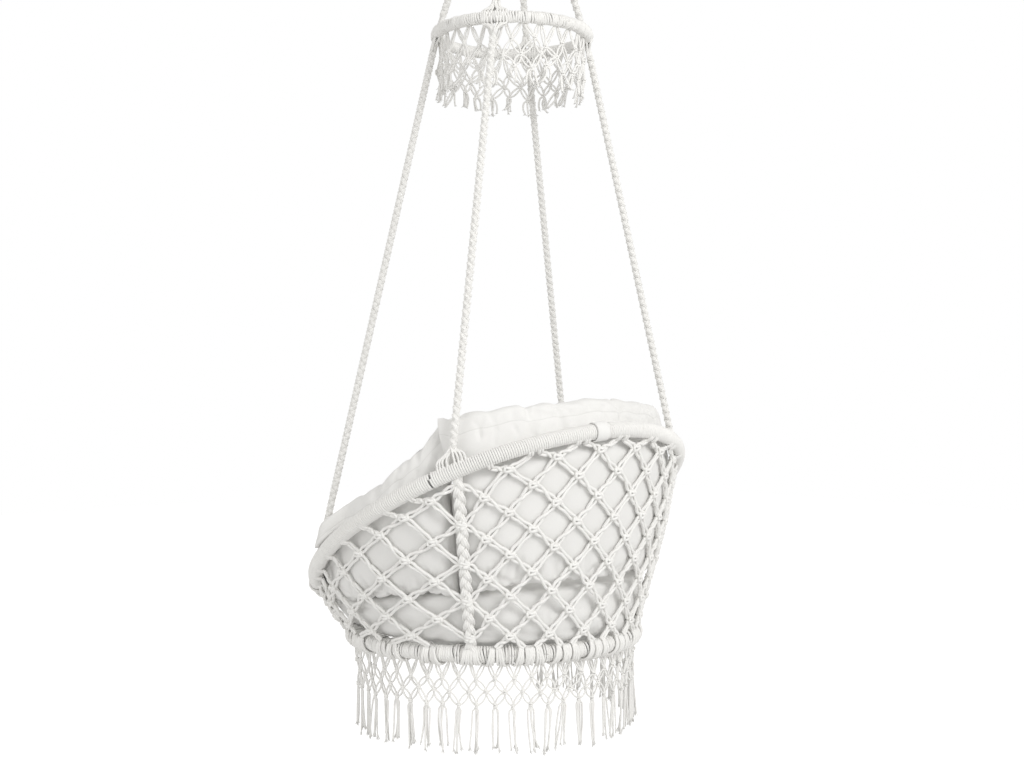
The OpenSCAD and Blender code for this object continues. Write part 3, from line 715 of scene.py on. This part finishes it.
def seat_tie(skein, start, angle):
    """A doubled cord from a knot to the seat hoop, round which its ends are hitched and knotted."""
    up = square_to(-wall_down(angle), level_along(angle))
    top = seat_at(angle) + (up * 0.8 + level_out(angle) * 0.6) * (WRAP_R + NET_CORD_R)
    lay_doubled(skein, start, top, wall_out(angle), eye_b=0.4)
    for side in (-1, 1):
        for n in range(3):
            first, last = side * (3 + 3 * n) * MM, side * (6 + 7 * n) * MM
            lay_hitch(skein, angle, first, last, NET_CORD_R * 0.9, 20 + 6 * n, 190, n * MM)


def rib_tie(skein, start, c, r, side):
    """A doubled cord from a knot to a rib."""
    a = net_angle(c, LEAN_FROM)
    lay_doubled(skein, start, spot_at(c, r) - wall_side(a) * side * 6 * MM, wall_out(a))


def net_panel(name, start, stop):
    spots = set(net_spots(start, stop))
    skein = Skein()
    for c, r in sorted(spots):
        a = net_angle(c, net_v(c, r))
        here = spot_at(c, r)
        lay_knot(skein, here, wall_side(a), wall_down(a), wall_out(a))
        for side in (-0.5, 0.5):
            for fall in (1, -1):
                there = (c + side, r + fall)
                edge = there[0] in (start, stop)
                if there in spots:
                    if fall > 0:
                        lay_doubled(skein, here, spot_at(*there), wall_out(a))
                elif edge and rim_row(there[0]) < there[1] < LAST_ROW:
                    rib_tie(skein, here, *there, np.sign(side))
                elif fall > 0:
                    seat_tie(skein, here, net_angle(c + side * (0.4 if edge else 0.72), 1))
                else:
                    rim_tie(skein, here, net_angle(c + side * (0.4 if edge else 0.8), 0))
    skein.build(name + "_cords", net_cotton, name)


# Ribs


def rib(k):
    """A plait of three strands of three cords, drawn in where the net is tied to it."""
    name = "rib_" + ROPE_NAMES[k]
    a = RIB_ANGLES[k]
    column = RIB_COLUMN if abs(a) < 90 else FRONT_COLUMN
    side, down, out = wall_side(a), wall_down(a), wall_out(a)
    height = np.linalg.norm(seat_at(a) - rim_at(a))
    v = np.linspace((WRAP_R - 6 * MM) / height, 1 - (WRAP_R - 4 * MM) / height, int(height / (2.5 * MM)))
    line = net_at(np.full(len(v), a), v)
    run = lengths(line)
    waist = 1 - 0.4 * hump(run / (16 * MM))
    skein = Skein()
    for r in range(2, LAST_ROW):
        if has_knot(column, r):
            at = spot_at(column, r)
            waist -= 0.28 * hump((run - np.linalg.norm(at - line[0])) / (8 * MM))
            for step in (-1, 1):
                middle = at + down * step * 3.2 * MM
                lay_ring(skein, middle, (side + 0.25 * step * down) * 8.6 * MM, out * 7.6 * MM, NET_CORD_R)
    for strand in range(3):
        phase = 2 * np.pi * (run / RIB_PITCH + strand / 3)
        x = 6.2 * MM * np.sin(phase) * waist
        y = 4.8 * MM * np.sin(2 * phase) * waist
        slope = np.arctan2(np.gradient(x), np.gradient(run))
        for cord in (-1, 0, 1):
            spread = cord * 3.5 * MM * waist
            shift = np.outer(x + spread * np.cos(slope), side) - np.outer(spread * np.sin(slope), down)
            lift = y + 1.1 * MM * (1 - abs(cord))
            skein.lay(line + shift + np.outer(lift, out), RIB_CORD_R, out)
    for step in (-1, 1):
        for n in range(4):
            lay_hitch(skein, a, step * (1 + 2 * n) * MM, step * (4 + 6 * n) * MM, 2.6 * MM, -25, 175)
    skein.build(name + "_plait", net_cotton, name)


def lay_hitch(skein, a, start, stop, cord_r, first, last, lift=0.0):
    """A cord over the seat hoop's outer face, from one angle round the tube to another."""
    along = level_along(a)
    up = square_to(-wall_down(a), along)
    out = np.cross(along, up)
    if out @ level_out(a) < 0:
        out = -out
    turn = np.radians(np.linspace(first, last, 16))
    spoke = turned(up, out, turn)
    drift = mix(start, stop, np.linspace(0, 1, 16)) + chance.normal(0, 0.6 * MM)
    line = seat_at(a) + spoke * (WRAP_R + cord_r * 0.9 + lift) + np.outer(drift, along)
    skein.lay(line, cord_r, spoke)


# Fringes


def lay_petal(skein, p, q, out, bow, cord_r):
    """Two thin cords from knot to knot that bow apart."""
    t = np.linspace(0, 1, 11)
    swell = np.sin(np.pi * t) ** 0.75
    lat = unit(np.cross(out, q - p))
    for side in (-1, 1):
        away = side * bow * (1 + chance.normal(0, 0.15)) * swell
        lift = chance.normal(0, 0.9 * MM) * swell
        skein.lay(mix(p, q, t[:, None]) + np.outer(away, lat) + np.outer(lift, out), cord_r, out)


def lay_small_knot(skein, at, along, out, cord_r):
    size = cord_r * 1.5
    lean = unit(along + UP * chance.normal(0, 0.4))
    lay_ring(skein, at + UP * size * 0.7, lean * size, out * size, cord_r)
    lay_ring(skein, at - UP * size * 0.7, unit(lean - UP * 0.5) * size, out * size, cord_r)


def lay_tassel(skein, at, along, out, length, cord_r, mess):
    """Four cords that hang from a knot and fray at their ends."""
    t = np.linspace(0, 1, 18)
    sway = chance.normal(0, 2.5 * MM * mess)
    for n in (-1.5, -0.5, 0.5, 1.5):
        reach = length * (0.9 + chance.normal(0, 0.03 * mess))
        shoulder = n * (4.2 + chance.normal(0, 0.5)) * MM * smooth(t / 0.14)
        drift = (sway + chance.normal(0, 1.5 * MM * mess)) * t**1.5
        wave = chance.normal(0, 1.3 * MM * mess) * np.sin(np.pi * t)
        away = shoulder + drift + wave
        lift = chance.normal(0, 2 * MM * mess) * t
        line = at + np.outer(away, along) + np.outer(lift, out) - np.outer(reach * t, UP)
        skein.lay(line, cord_r * (1 - 0.2 * t**8), out)
        lay_fray(skein, line[-4], line[-1] - line[-4], along, out)


def lay_fray(skein, tip, towards, along, out):
    """Loose fibres at a cord's end."""
    for _ in range(7):
        stray = along * chance.normal(0, 2.2 * MM) + out * chance.normal(0, 2.2 * MM)
        end = tip + towards * chance.uniform(1.05, 1.35) + stray
        fibre = curve(tip, tip + towards * 0.4, tip + towards * 0.8 + stray * 0.4, end, 6)
        skein.lay(fibre, np.linspace(1.0, 0.45, 6) * MM, out, sides=4)


def fringe(hoop, middle, hoop_r, hang, count, reach, tassel_len, cord_r, mess):
    """Three rows of knots, joined by bowed pairs of thin cords, and a tassel under every knot of the last.

    reach is how far it runs to both sides of the back, in degrees; mess is how unevenly it hangs."""
    closed = reach >= 180
    step = 360 / count if closed else 2 * reach / (count - 1)
    first = 0 if closed else -reach

    def knot_at(i, row):
        jitter = chance.normal(0, 1.2 * MM * mess, 3)
        return middle + hoop_r * level_out(first + i * step) - UP * FRINGE_ROWS[row] + jitter

    upper = [knot_at(i, 0) for i in range(count)]
    between = [knot_at(i + 0.5, 1) for i in range(count if closed else count - 1)]
    lower = [knot_at(i, 2) for i in range(count)]
    skein, tassels = Skein(), Skein()
    for i in range(count):
        a = first + i * step
        along, out = level_along(a), level_out(a)
        for side in (-0.42, 0.42):
            top = middle + hoop_r * level_out(a + side * step) - UP * hang
            lay_petal(skein, top, upper[i], out, 3 * MM, cord_r)
        lay_small_knot(skein, upper[i], along, out, cord_r)
        lay_small_knot(skein, lower[i], along, out, cord_r)
        lay_tassel(tassels, lower[i], along, out, tassel_len, cord_r, mess)
    for i, knot in enumerate(between):
        a = first + (i + 0.5) * step
        out = level_out(a)
        lay_small_knot(skein, knot, level_along(a), out, cord_r)
        for row in (upper, lower):
            for other in (row[i], row[(i + 1) % count]):
                lay_petal(skein, other, knot, out, 4.6 * MM, cord_r)
    skein.build(hoop + "_fringe_cords", fringe_cotton, hoop + "_fringe")
    tassels.build(hoop + "_tassel_cords", fringe_cotton, hoop + "_tassels")


# Seat web and front lacing


def lay_twisted(skein, p, q, cord_r, reference):
    """Two cords twisted round each other."""
    line = straight(p, q, 4 * MM)
    along = unit(q - p)
    front = square_to(reference, along)
    side = np.cross(along, front)
    turn = 2 * np.pi * lengths(line) / (30 * MM)
    for phase in (0, np.pi):
        spoke = turned(front, side, turn + phase)
        skein.lay(line + spoke * cord_r * 0.8, cord_r, spoke)


def lay_turn(skein, at, radial, up, cord_r):
    """One turn of a cord round a wound hoop."""
    ring_r = WRAP_R + 2 * MM
    lay_ring(skein, at, radial * ring_r, up * ring_r, cord_r)


def seat_web():
    """Crossed cords in two layers inside the seat hoop, hitched round it."""
    skein = Skein()
    pitch, layer_step = 56 * MM, 6.4 * MM
    ways = (np.array([1.0, 0, 0]), np.array([0, 1.0, 0]))
    for layer, run in enumerate(ways):
        across = ways[1 - layer]
        height = (layer - 0.5) * layer_step * UP
        for n in range(-4, 5):
            away = n * pitch
            half = np.sqrt(SEAT_R**2 - away**2)
            ends = [SEAT_MIDDLE + across * away + run * s * (half - WRAP_R) + height for s in (-1, 1)]
            lay_twisted(skein, ends[0], ends[1], 1.8 * MM, UP)
            for s in (-1, 1):
                at = SEAT_MIDDLE + across * away + run * s * half
                out = unit((at - SEAT_MIDDLE) * np.array([1, 1, 0]))
                for step in (-1, 1):
                    lay_turn(skein, at + np.cross(UP, out) * step * 2.5 * MM, out, UP, 2 * MM)
    skein.build("seat_web_cords", net_cotton, "seat_web")


def front_lacing():
    """Cords that zigzag between the rim and the seat hoop where these come near each other."""
    skein = Skein()
    count = 14
    first = 130.8
    step = (360 - 2 * first) / count
    for n in range(count):
        a, b = first + n * step, first + (n + 1) * step
        high, low = (a, b) if n % 2 == 0 else (b, a)
        top = rim_at(high) - UP * WRAP_R * 0.9
        bottom = seat_at(low) + UP * WRAP_R * 0.9
        lay_doubled(skein, top, bottom, level_out((a + b) / 2), 0.2, 0.2)
    for n in range(count + 1):
        a = first + n * step
        for side in (-1.4, 1.4):
            aside = side * 2 * MM
            lay_turn(skein, rim_at(a) + rim_along(a) * aside, rim_radial(a), RIM_UP, 2.4 * MM)
            lay_turn(skein, seat_at(a) + level_along(a) * aside, level_out(a), UP, 2.4 * MM)
    skein.build("front_lacing_cords", net_cotton, "front_lacing")


# Cushions

PAD_OFFSET = 16.7 * MM
NET_GAP = 9 * MM
PAD_LEAN = 0.17
PAD_MEETING = 52.3
BACK_CORNER = 57.5
SIDE_PAD_END = 146
PAD_GAP = 0.5
PAD_TALL = 340 * MM
PAD_PRESS = 1 * MM
SEAM_DROP = 30 * MM
BACK_PUCKERS = (28, 18, -5, -27)
LEFT_PUCKERS = (63, 69, 81)
RIGHT_PUCKERS = (-66, -79)
SETTLE_FRAMES = 20
COVER = {
    "quality": 4,
    "mass": 0.2,
    "use_pressure": True,
    "uniform_pressure_force": 4,
    "shrink_min": -0.05,
    "tension_stiffness": 12,
    "compression_stiffness": 12,
    "bending_stiffness": 0.3,
}


def back_rise(a):
    """Height of the back cushion's top over the rim's middle line."""
    a = np.abs(a)
    return 58 * MM + 86 * MM * (1 - np.cos(np.radians(a))) + 7 * MM * smooth((a - 51) / 5)


def side_rise(a):
    """Height of a side cushion's top: low behind the back's corner, puffed up round the front rope."""
    a = np.abs(a)
    behind = 34 * MM * np.exp(-np.maximum(a - 56, 0) / 9)
    puff = 40 * MM * smooth((a - 82) / 36) - 25 * MM * smooth((a - 128) / 18)
    return 50 * MM + behind + puff


def flop(a, over):
    """The side cushions lean out over the rim on both sides of the front rope and its fan."""
    a = np.abs(a)
    before = 58 * MM * smooth((a - 96) / 9) * (1 - smooth((a - 106) / 3.2))
    past = 44 * MM * hump((a - 130) / 8)
    return (before + past) * smooth((over - 14 * MM) / (22 * MM))


def pad_bottom(a):
    return 90 * MM + 45 * MM * np.cos(np.radians(a))


def bowl_line(a, z):
    """The wall below the rim, leaning in above it; z is above the seat hoop."""
    over = z - wall_height(a)
    lean = PAD_LEAN * np.maximum(0, over) + 7 * MM * np.clip((over + 16 * MM) / (10 * MM), 0, 1)
    below = wall_at(a, np.clip(-over / wall_height(a), 0, 1))
    return below + UP * np.maximum(0, over)[..., None] - rim_out(a) * lean[..., None]


def cloth_inset(a, z):
    """How far inside the wall a cushion's outer face lies: close behind the net, and clear of the rim."""
    over = z - wall_height(a)
    behind_net = smooth((-over - 20 * MM) / (30 * MM))
    v = np.clip(-over / wall_height(a), 0, 1)
    return mix(PAD_OFFSET, NET_GAP - net_swell(v), behind_net) - flop(a, over)


def crease(x, z, at, angle, length, width):
    """A fold that starts at a point of the cloth and runs out at an angle; 1 at its deepest."""
    dx, dz = x - at[0], z - at[1]
    along = (dx * np.cos(angle) + dz * np.sin(angle)) / length
    across = (dz * np.cos(angle) - dx * np.sin(angle)) / width
    return hump(across) * np.sin(np.pi * np.clip(along, 0, 1)) ** 0.7


def gathers(x, z, spots, reach, width):
    """Folds that spread up and down from points where the cloth is drawn together."""
    depth = np.zeros(np.broadcast(x, z).shape)
    for at in spots:
        for way in (1, -1):
            for _ in range(3):
                angle = way * chance.normal(np.pi / 2, 0.55)
                length = reach * chance.uniform(0.5, 1.2)
                depth += chance.uniform(0.5, 1) * crease(x, z, at, angle, length, width)
    return depth


def squared(t, power):
    return np.sign(t) * np.abs(t) ** power


def section(count, tall, thick, upper, lower):
    """A closed section with round corners, evenly spaced from its bottom up its outer face and round.

    upper and lower say how round its corners are; the heights and depths run from -1 to 1."""
    turn = np.linspace(-np.pi / 2, 3 * np.pi / 2, 4001)
    power = np.where(np.sin(turn) > 0, upper, lower)
    height, depth = squared(np.sin(turn), power), squared(np.cos(turn), power)
    run = lengths(np.stack([height * tall, depth * thick], -1))
    at = np.linspace(0, run[-1], count, endpoint=False)
    return np.interp(at, run, height)[None], np.interp(at, run, depth)[None]


def pad_edge(height):
    """The angle where the back cushion ends; its corner reaches further at the top."""
    return mix(PAD_MEETING, BACK_CORNER, smooth((height - 0.6) / 0.4))


def back_ends(height):
    return -pad_edge(height), pad_edge(height)


def side_edge(height):
    """A side cushion starts at the back cushion's end, and under its corner at the top."""
    return PAD_MEETING + PAD_GAP - 2.5 * smooth((height - 0.55) / 0.2)


def left_ends(height):
    return side_edge(height), SIDE_PAD_END


def right_ends(height):
    return -SIDE_PAD_END, -side_edge(height)


def back_corner(a, height):
    """How thick and how far in: the back cushion's upper corners are flaps over the side cushions."""
    flap = smooth((np.abs(a) - 48) / 5) * smooth((height - 0.5) / 0.25)
    return 1 - 0.8 * flap, 0 * flap


def side_corner(a, height):
    """How thick and how far in: a side cushion is tucked in under the back cushion's corner."""
    tuck = (1 - smooth((np.abs(a) - 56) / 6)) * smooth((height - 0.42) / 0.2)
    return 1 - 0.3 * tuck, 17 * MM * tuck


def top_waves(x, hard):
    """A cushion's top runs up and down a little, with a notch where the cloth is drawn in hard."""
    notch = sum(hump((x - at) / (9 * MM)) for at in hard)
    return 3 * MM * np.sin(x / (21 * MM)) * np.sin(x / (47 * MM)) - 4 * MM * notch


def gather_places(x):
    """Uneven steps along a cushion."""
    count = int((x.max() - x.min()) / (48 * MM))
    return np.linspace(x.min(), x.max(), count + 2)[1:-1] + chance.normal(0, 10 * MM, count)


def pad_folds(x, z, seam_z, low, hard):
    """Folds along the seam and the foot, and deep ones where the cloth is drawn in hard."""
    order = np.argsort(x[:, 0])
    run = x[order, 0]
    places = gather_places(x[:, 0])
    seam_spots = zip(places, np.interp(places, run, seam_z[order, 0]))
    foot_spots = zip(places, np.interp(places, run, low[order, 0]) + 14 * MM)
    hard_spots = zip(hard, np.interp(hard, run, seam_z[order, 0]))
    folds = 3.2 * MM * gathers(x, z, seam_spots, 34 * MM, 4 * MM)
    folds += 5 * MM * gathers(x, z, foot_spots, 55 * MM, 5 * MM)
    folds += 5.5 * MM * gathers(x, z, hard_spots, 70 * MM, 6 * MM)
    return folds


def flat_places(x, points, over_seam):
    """Places on the flat cloth: along the cushion, and round it from its seam."""
    run = lengths(points)
    rising = slice(points.shape[1] // 2)
    seam_run = [np.interp(0, over[rising], way[rising]) for over, way in zip(over_seam, run)]
    return np.stack([x, run - np.array(seam_run)[:, None]], -1).reshape(-1, 2)


def wall_pad(name, ends, rise, corner, thickness, puckers, counts):
    """A stuffed panel that follows the bowl's wall, with round edges and a seam along its top.

    ends gives the angles of its two ends at a height between 0 and 1; puckers are the angles where the
    cloth is drawn in hard; counts are the numbers of rings along it and of points round each."""
    rings, ring_points = counts
    u = 0.5 - 0.5 * np.cos(np.pi * np.linspace(0, 1, rings))[:, None]
    level, out = section(ring_points, PAD_TALL, thickness, 0.42, 0.26)
    height = 0.5 + 0.5 * level
    start, stop = ends(height)
    a = mix(start, stop, u)
    x = np.radians(a) * RIM_R
    hard = np.radians(np.array(puckers)) * RIM_R
    top = wall_height(a) + rise(a) + top_waves(x, hard)
    low = pad_bottom(a) - PAD_PRESS
    z = mix(low, top, height)
    seam_z = top - SEAM_DROP
    full = np.maximum(0, 1 - np.abs(2 * u - 1) ** 24) ** (1 / 3)
    share, tuck = corner(a, height)
    half = thickness / 2 * (0.66 + 0.34 * np.sin(np.pi * height) ** 0.7) * share
    folds = pad_folds(x, z, seam_z, low, hard)
    seam = 2 * MM * hump((z - seam_z) / (4 * MM))
    sink = np.where(out > 0, folds + seam, -folds) * full
    depth = cloth_inset(a, z) + tuck + half * (1 - full * out) + sink
    points = bowl_line(a, z) - wall_out(a) * depth[..., None]
    faces = strips(np.arange(rings * ring_points).reshape(counts))
    flat = flat_places(x, points, z - seam_z)
    obj = cover_object(name + "_pad", points.reshape(-1, 3), faces.tolist(), flat)
    settle(obj, 7 * MM)
    refine(obj)
    piece(obj, canvas, "cushion", name)


def strips(index):
    """Faces between the rows of a grid of points; each row closes on itself."""
    after = np.roll(index, -1, axis=1)
    return np.stack([index[:-1], after[:-1], after[1:], index[1:]], -1).reshape(-1, 4)


def woven_mesh(name, points, faces, flat):
    """A mesh with its weave laid out flat."""
    mesh = bpy.data.meshes.new(name)
    mesh.from_pydata(points, [], faces)
    layer = mesh.uv_layers.new(name="cloth")
    corners = np.concatenate([np.asarray(face) for face in faces])
    layer.data.foreach_set("uv", flat[corners].ravel())
    return mesh


def cover_object(name, points, faces, flat):
    """A closed cover, facing outwards and without doubled points."""
    mesh = woven_mesh(name, points, faces, flat)
    work = bmesh.new()
    work.from_mesh(mesh)
    bmesh.ops.remove_doubles(work, verts=work.verts, dist=0.02 * MM)
    bmesh.ops.dissolve_degenerate(work, edges=work.edges, dist=0.01 * MM)
    bmesh.ops.recalc_face_normals(work, faces=work.faces)
    work.to_mesh(mesh)
    work.free()
    return finished(name, mesh)


def positions(mesh):
    flat = np.empty(3 * len(mesh.vertices))
    mesh.vertices.foreach_get("co", flat)
    return flat.reshape(-1, 3)


def settle(obj, cap):
    """The filling's pressure swells and wrinkles the cover; no point moves further than the cap."""
    scene = bpy.context.scene
    rest = positions(obj.data)
    cover = obj.modifiers.new("cover", "CLOTH")
    for key, value in COVER.items():
        setattr(cover.settings, key, value)
    cover.settings.effector_weights.gravity = 0
    cover.collision_settings.use_collision = False
    cover.point_cache.frame_start = 1
    cover.point_cache.frame_end = SETTLE_FRAMES
    for moment in range(1, SETTLE_FRAMES + 1):
        scene.frame_set(moment)
    swollen = obj.evaluated_get(bpy.context.evaluated_depsgraph_get())
    move = positions(swollen.data) - rest
    obj.modifiers.remove(cover)
    scene.frame_set(1)
    far = np.linalg.norm(move, axis=1, keepdims=True)
    move *= np.minimum(1, cap / np.maximum(far, 1e-9))
    outside = outside_of(rest)
    outward = np.sum(move * outside, axis=1, keepdims=True)
    move -= outside * np.maximum(0, outward - 1 * MM)
    obj.data.vertices.foreach_set("co", (rest + move).ravel())
    obj.data.update()


def refine(obj):
    """Divides every face in four, with rounded folds."""
    obj.modifiers.new("finer", "SUBSURF").levels = 1
    finer = obj.evaluated_get(bpy.context.evaluated_depsgraph_get())
    obj.data = bpy.data.meshes.new_from_object(finer)
    obj.modifiers.clear()


def outside_of(points):
    """Level directions away from the middle of the bowl."""
    away = (points - np.array([0, -SEAT_FORWARD, 0])) * np.array([1, 1, 0])
    return away / np.maximum(np.linalg.norm(away, axis=1, keepdims=True), 1e-9)


def seat_cushion():
    """A round pad that fills the bottom of the bowl, with folds round its side."""
    rings, ring_points = 80, 240
    low, belly, crown = 7 * MM, 48 * MM, 118 * MM
    a = np.linspace(-180, 180, ring_points, endpoint=False)[:, None]
    level, edge = section(2 * rings + 3, 2 * belly, 2 * SEAT_R, 0.2, 0.25)
    level, edge = level[:, 1 : rings + 1], edge[:, 1 : rings + 1]
    ridge = 12 * MM * hump((edge - 0.7) / 0.12)
    brim = mix(crown, pad_bottom(a) + PAD_PRESS, edge**3) + ridge
    over_belly = np.maximum(brim - belly, 6 * MM)
    z = belly + np.where(level < 0, belly - low, over_belly) * level
    x = np.radians(a) * SEAT_R + 0 * level
    spots = [(at, belly + chance.normal(0, 16 * MM)) for at in gather_places(x[:, 0])]
    folds = 6 * MM * sum(crease(x, z, at, chance.normal(0, 0.35), 90 * MM, 6 * MM) for at in spots)
    inset = cloth_inset(a, z) + folds
    around = a + 0 * level
    side = bowl_line(around, np.maximum(z, 1 * MM)) - wall_out(around) * inset[..., None]
    points = mix(SEAT_MIDDLE + UP * z[..., None], side, edge[..., None])
    index = np.arange(rings * ring_points).reshape(ring_points, rings)
    after = np.roll(index, -1, axis=0)
    skin = np.stack([index[:, :-1], after[:, :-1], after[:, 1:], index[:, 1:]], -1)
    faces = skin.reshape(-1, 4).tolist() + [index[:, 0].tolist(), index[::-1, -1].tolist()]
    flat = np.stack([x, 1 + np.broadcast_to(level, x.shape) * 0.2], -1).reshape(-1, 2)
    obj = cover_object("seat_cushion_pad", points.reshape(-1, 3), faces, flat)
    settle(obj, 8 * MM)
    piece(obj, canvas, "cushion", "seat_cushion")


def back_strap():
    """A flat cloth band round the rim, with turned edges."""
    a, width, thick, loose = 8.4, 30 * MM, 2.2 * MM, 1.6 * MM
    turn = np.linspace(0, 2 * np.pi, 64, endpoint=False)
    cross = np.linspace(-1, 1, 15)
    profile = np.concatenate([cross, cross[::-1]])
    face = np.concatenate([np.ones(15), -np.ones(15)])
    hem = 0.35 * thick * hump((np.abs(profile) - 0.86) / 0.06)
    lift = WRAP_R + loose + face * thick / 2 * (1 - np.abs(profile) ** 8) + face * hem
    ripple = 0.4 * MM * np.sin(3 * turn[:, None] + 2 * profile)
    spoke = turned(rim_radial(a), RIM_UP, turn)[:, None]
    aside = np.outer(profile * width / 2, rim_along(a))
    points = (rim_at(a) + (lift + ripple)[..., None] * spoke + aside).reshape(-1, 3)
    index = np.arange(len(points)).reshape(len(turn), -1)
    faces = strips(np.concatenate([index, index[:1]]))
    flat = np.array([(t * WRAP_R, 1 + p * width / 2) for t in turn for p in profile])
    mesh = woven_mesh("back_strap_band", points, faces.tolist(), flat)
    piece(finished("back_strap_band", mesh), canvas, "cushion", "back_strap")


# Hardware and hoop tubes keep their construction solids


def dress(name, material, bevel):
    obj = frame["nodes"][name]
    obj.data.materials.clear()
    obj.data.materials.append(material)
    if bevel:
        soften = obj.modifiers.new("soften", "BEVEL")
        soften.width = bevel
        soften.segments = 2
        soften.limit_method = "ANGLE"


def hardware():
    steel = metal_material("steel", STEEL_DARK, STEEL_LIGHT, 0.28)
    bronze = metal_material("bronze", BRONZE_DARK, BRONZE_LIGHT, 0.3)
    paint = paint_material()
    for name in ("swivel_eye", "swivel_jaw", "jaw_pin", "pin_clip", "stirrup"):
        dress(name, steel, 0.6 * MM)
    dress("thrust_washer", bronze, 0)
    for name in ("spreader_hoop", "rim_hoop", "seat_hoop"):
        dress(name, paint, 0)


# Camera, light and floor

VIEW_FROM = np.array([0.674, 0.738, 0])
VIEW_RIGHT = np.array([-0.738, 0.674, 0])
VIEW_DISTANCE = 2.886
VIEW_Z = -1.3745
LENS = 48.63
WORLD_LIGHT = 0.71
FLOOR_Z = -2.45
FLOOR_HALF = 9


def put(obj, at, towards):
    """Puts a camera or a lamp in its place, facing a direction."""
    obj.location = at
    obj.rotation_euler = Vector(towards).to_track_quat("-Z", "Y").to_euler()
    show(obj)


def camera():
    data = bpy.data.cameras.new("camera")
    data.lens = LENS
    data.sensor_width = 36
    obj = bpy.data.objects.new("camera", data)
    put(obj, VIEW_FROM * VIEW_DISTANCE + UP * VIEW_Z, -VIEW_FROM)
    bpy.context.scene.camera = obj


def area_light(name, at, target, size, power):
    data = bpy.data.lights.new(name, "AREA")
    data.shape = "DISK"
    data.size = size
    data.energy = power
    put(bpy.data.objects.new(name, data), at, target - at)


def seen_directly(tree):
    """1 where the eye, a mirror image or a look through glass meets the surface, and 0 for its light."""
    path = tree.nodes.new("ShaderNodeLightPath").outputs
    seen = path["Is Camera Ray"]
    for ray in ("Is Glossy Ray", "Is Transmission Ray"):
        most = tree.nodes.new("ShaderNodeMath")
        most.operation = "MAXIMUM"
        tree.links.new(seen, most.inputs[0])
        tree.links.new(path[ray], most.inputs[1])
        seen = most.outputs[0]
    return seen


def world():
    scene = bpy.context.scene
    scene.view_settings.view_transform = "Standard"
    scene.world = bpy.data.worlds.new("studio")
    scene.world.use_nodes = True
    tree = scene.world.node_tree
    shown = tree.nodes["Background"]
    shown.inputs["Color"].default_value = (1, 1, 1, 1)
    shown.inputs["Strength"].default_value = 1
    lit = tree.nodes.new("ShaderNodeBackground")
    lit.inputs["Color"].default_value = (1.0, 0.99, 0.975, 1)
    lit.inputs["Strength"].default_value = WORLD_LIGHT
    join = tree.nodes.new("ShaderNodeMixShader")
    tree.links.new(seen_directly(tree), join.inputs["Fac"])
    tree.links.new(lit.outputs[0], join.inputs[1])
    tree.links.new(shown.outputs[0], join.inputs[2])
    tree.links.new(join.outputs[0], tree.nodes["World Output"].inputs["Surface"])


def floor():
    mesh = bpy.data.meshes.new("floor")
    ways = ((-1, -1), (1, -1), (1, 1), (-1, 1))
    mesh.from_pydata([(x * FLOOR_HALF, y * FLOOR_HALF, FLOOR_Z) for x, y in ways], [], [(0, 1, 2, 3)])
    obj = bpy.data.objects.new("floor", mesh)
    show(obj)
    shader = Shader("floor_white")
    white = shader.finish({
        "Base Color": (0.8, 0.8, 0.8, 1),
        "Roughness": 1,
        "Specular IOR Level": 0,
        "Emission Color": (1, 1, 1, 1),
        "Emission Strength": shader.times(seen_directly(shader.tree), 0.6),
    })
    mesh.materials.append(white)


def lights():
    aim = np.array([0, 0, -1.65])
    key = aim + VIEW_FROM * 2.2 + VIEW_RIGHT * 1.9 + UP * 1.6
    area_light("key", key, aim, 1.6, 42)
    fill = aim + VIEW_FROM * 2.4 - VIEW_RIGHT * 2.2 + UP * 0.4
    area_light("fill", fill, aim, 2.0, 13)


camera()
world()
lights()
floor()
hardware()
for k in range(4):
    upper_rope(k)
    lower_rope(k)
    rib(k)
bight("bight_left", BIGHT_X)
bight("bight_right", -BIGHT_X)
gather_wrap()
for part, start, stop in (
    ("back", -BACK_SLIT, BACK_SLIT),
    ("left", BACK_SLIT, FRONT_SLIT),
    ("right", -FRONT_SLIT, -BACK_SLIT),
    ("front", FRONT_SLIT, 360 - FRONT_SLIT),
):
    rim_wrap("rim_wrap_" + part, start + HALF_SLIT, stop - HALF_SLIT)
loose_winding("seat", seat_at, TUBE_R, SEAT_R, 4.6 * MM)
loose_winding("spreader", spreader_at, SPREADER_TUBE_R, SPREADER_R, 4.5 * MM)
net_panel("net_back", -RIB_COLUMN, RIB_COLUMN)
net_panel("net_left", RIB_COLUMN, FRONT_COLUMN)
net_panel("net_right", -FRONT_COLUMN, -RIB_COLUMN)
front_lacing()
seat_web()
fringe(
    "seat", SEAT_MIDDLE, SEAT_R, hang=WRAP_R - 1 * MM,
    count=35, reach=116, tassel_len=94 * MM, cord_r=2 * MM, mess=1.6,
)
fringe(
    "spreader", SPREADER_MIDDLE, SPREADER_R - 6 * MM, hang=SPREADER_WRAP_R - 2 * MM,
    count=26, reach=180, tassel_len=36 * MM, cord_r=2.1 * MM, mess=3.4,
)
wall_pad("back_cushion", back_ends, back_rise, back_corner, 58 * MM, BACK_PUCKERS, (180, 150))
wall_pad("left_cushion", left_ends, side_rise, side_corner, 76 * MM, LEFT_PUCKERS, (150, 120))
wall_pad("right_cushion", right_ends, side_rise, side_corner, 76 * MM, RIGHT_PUCKERS, (150, 120))
seat_cushion()
back_strap()
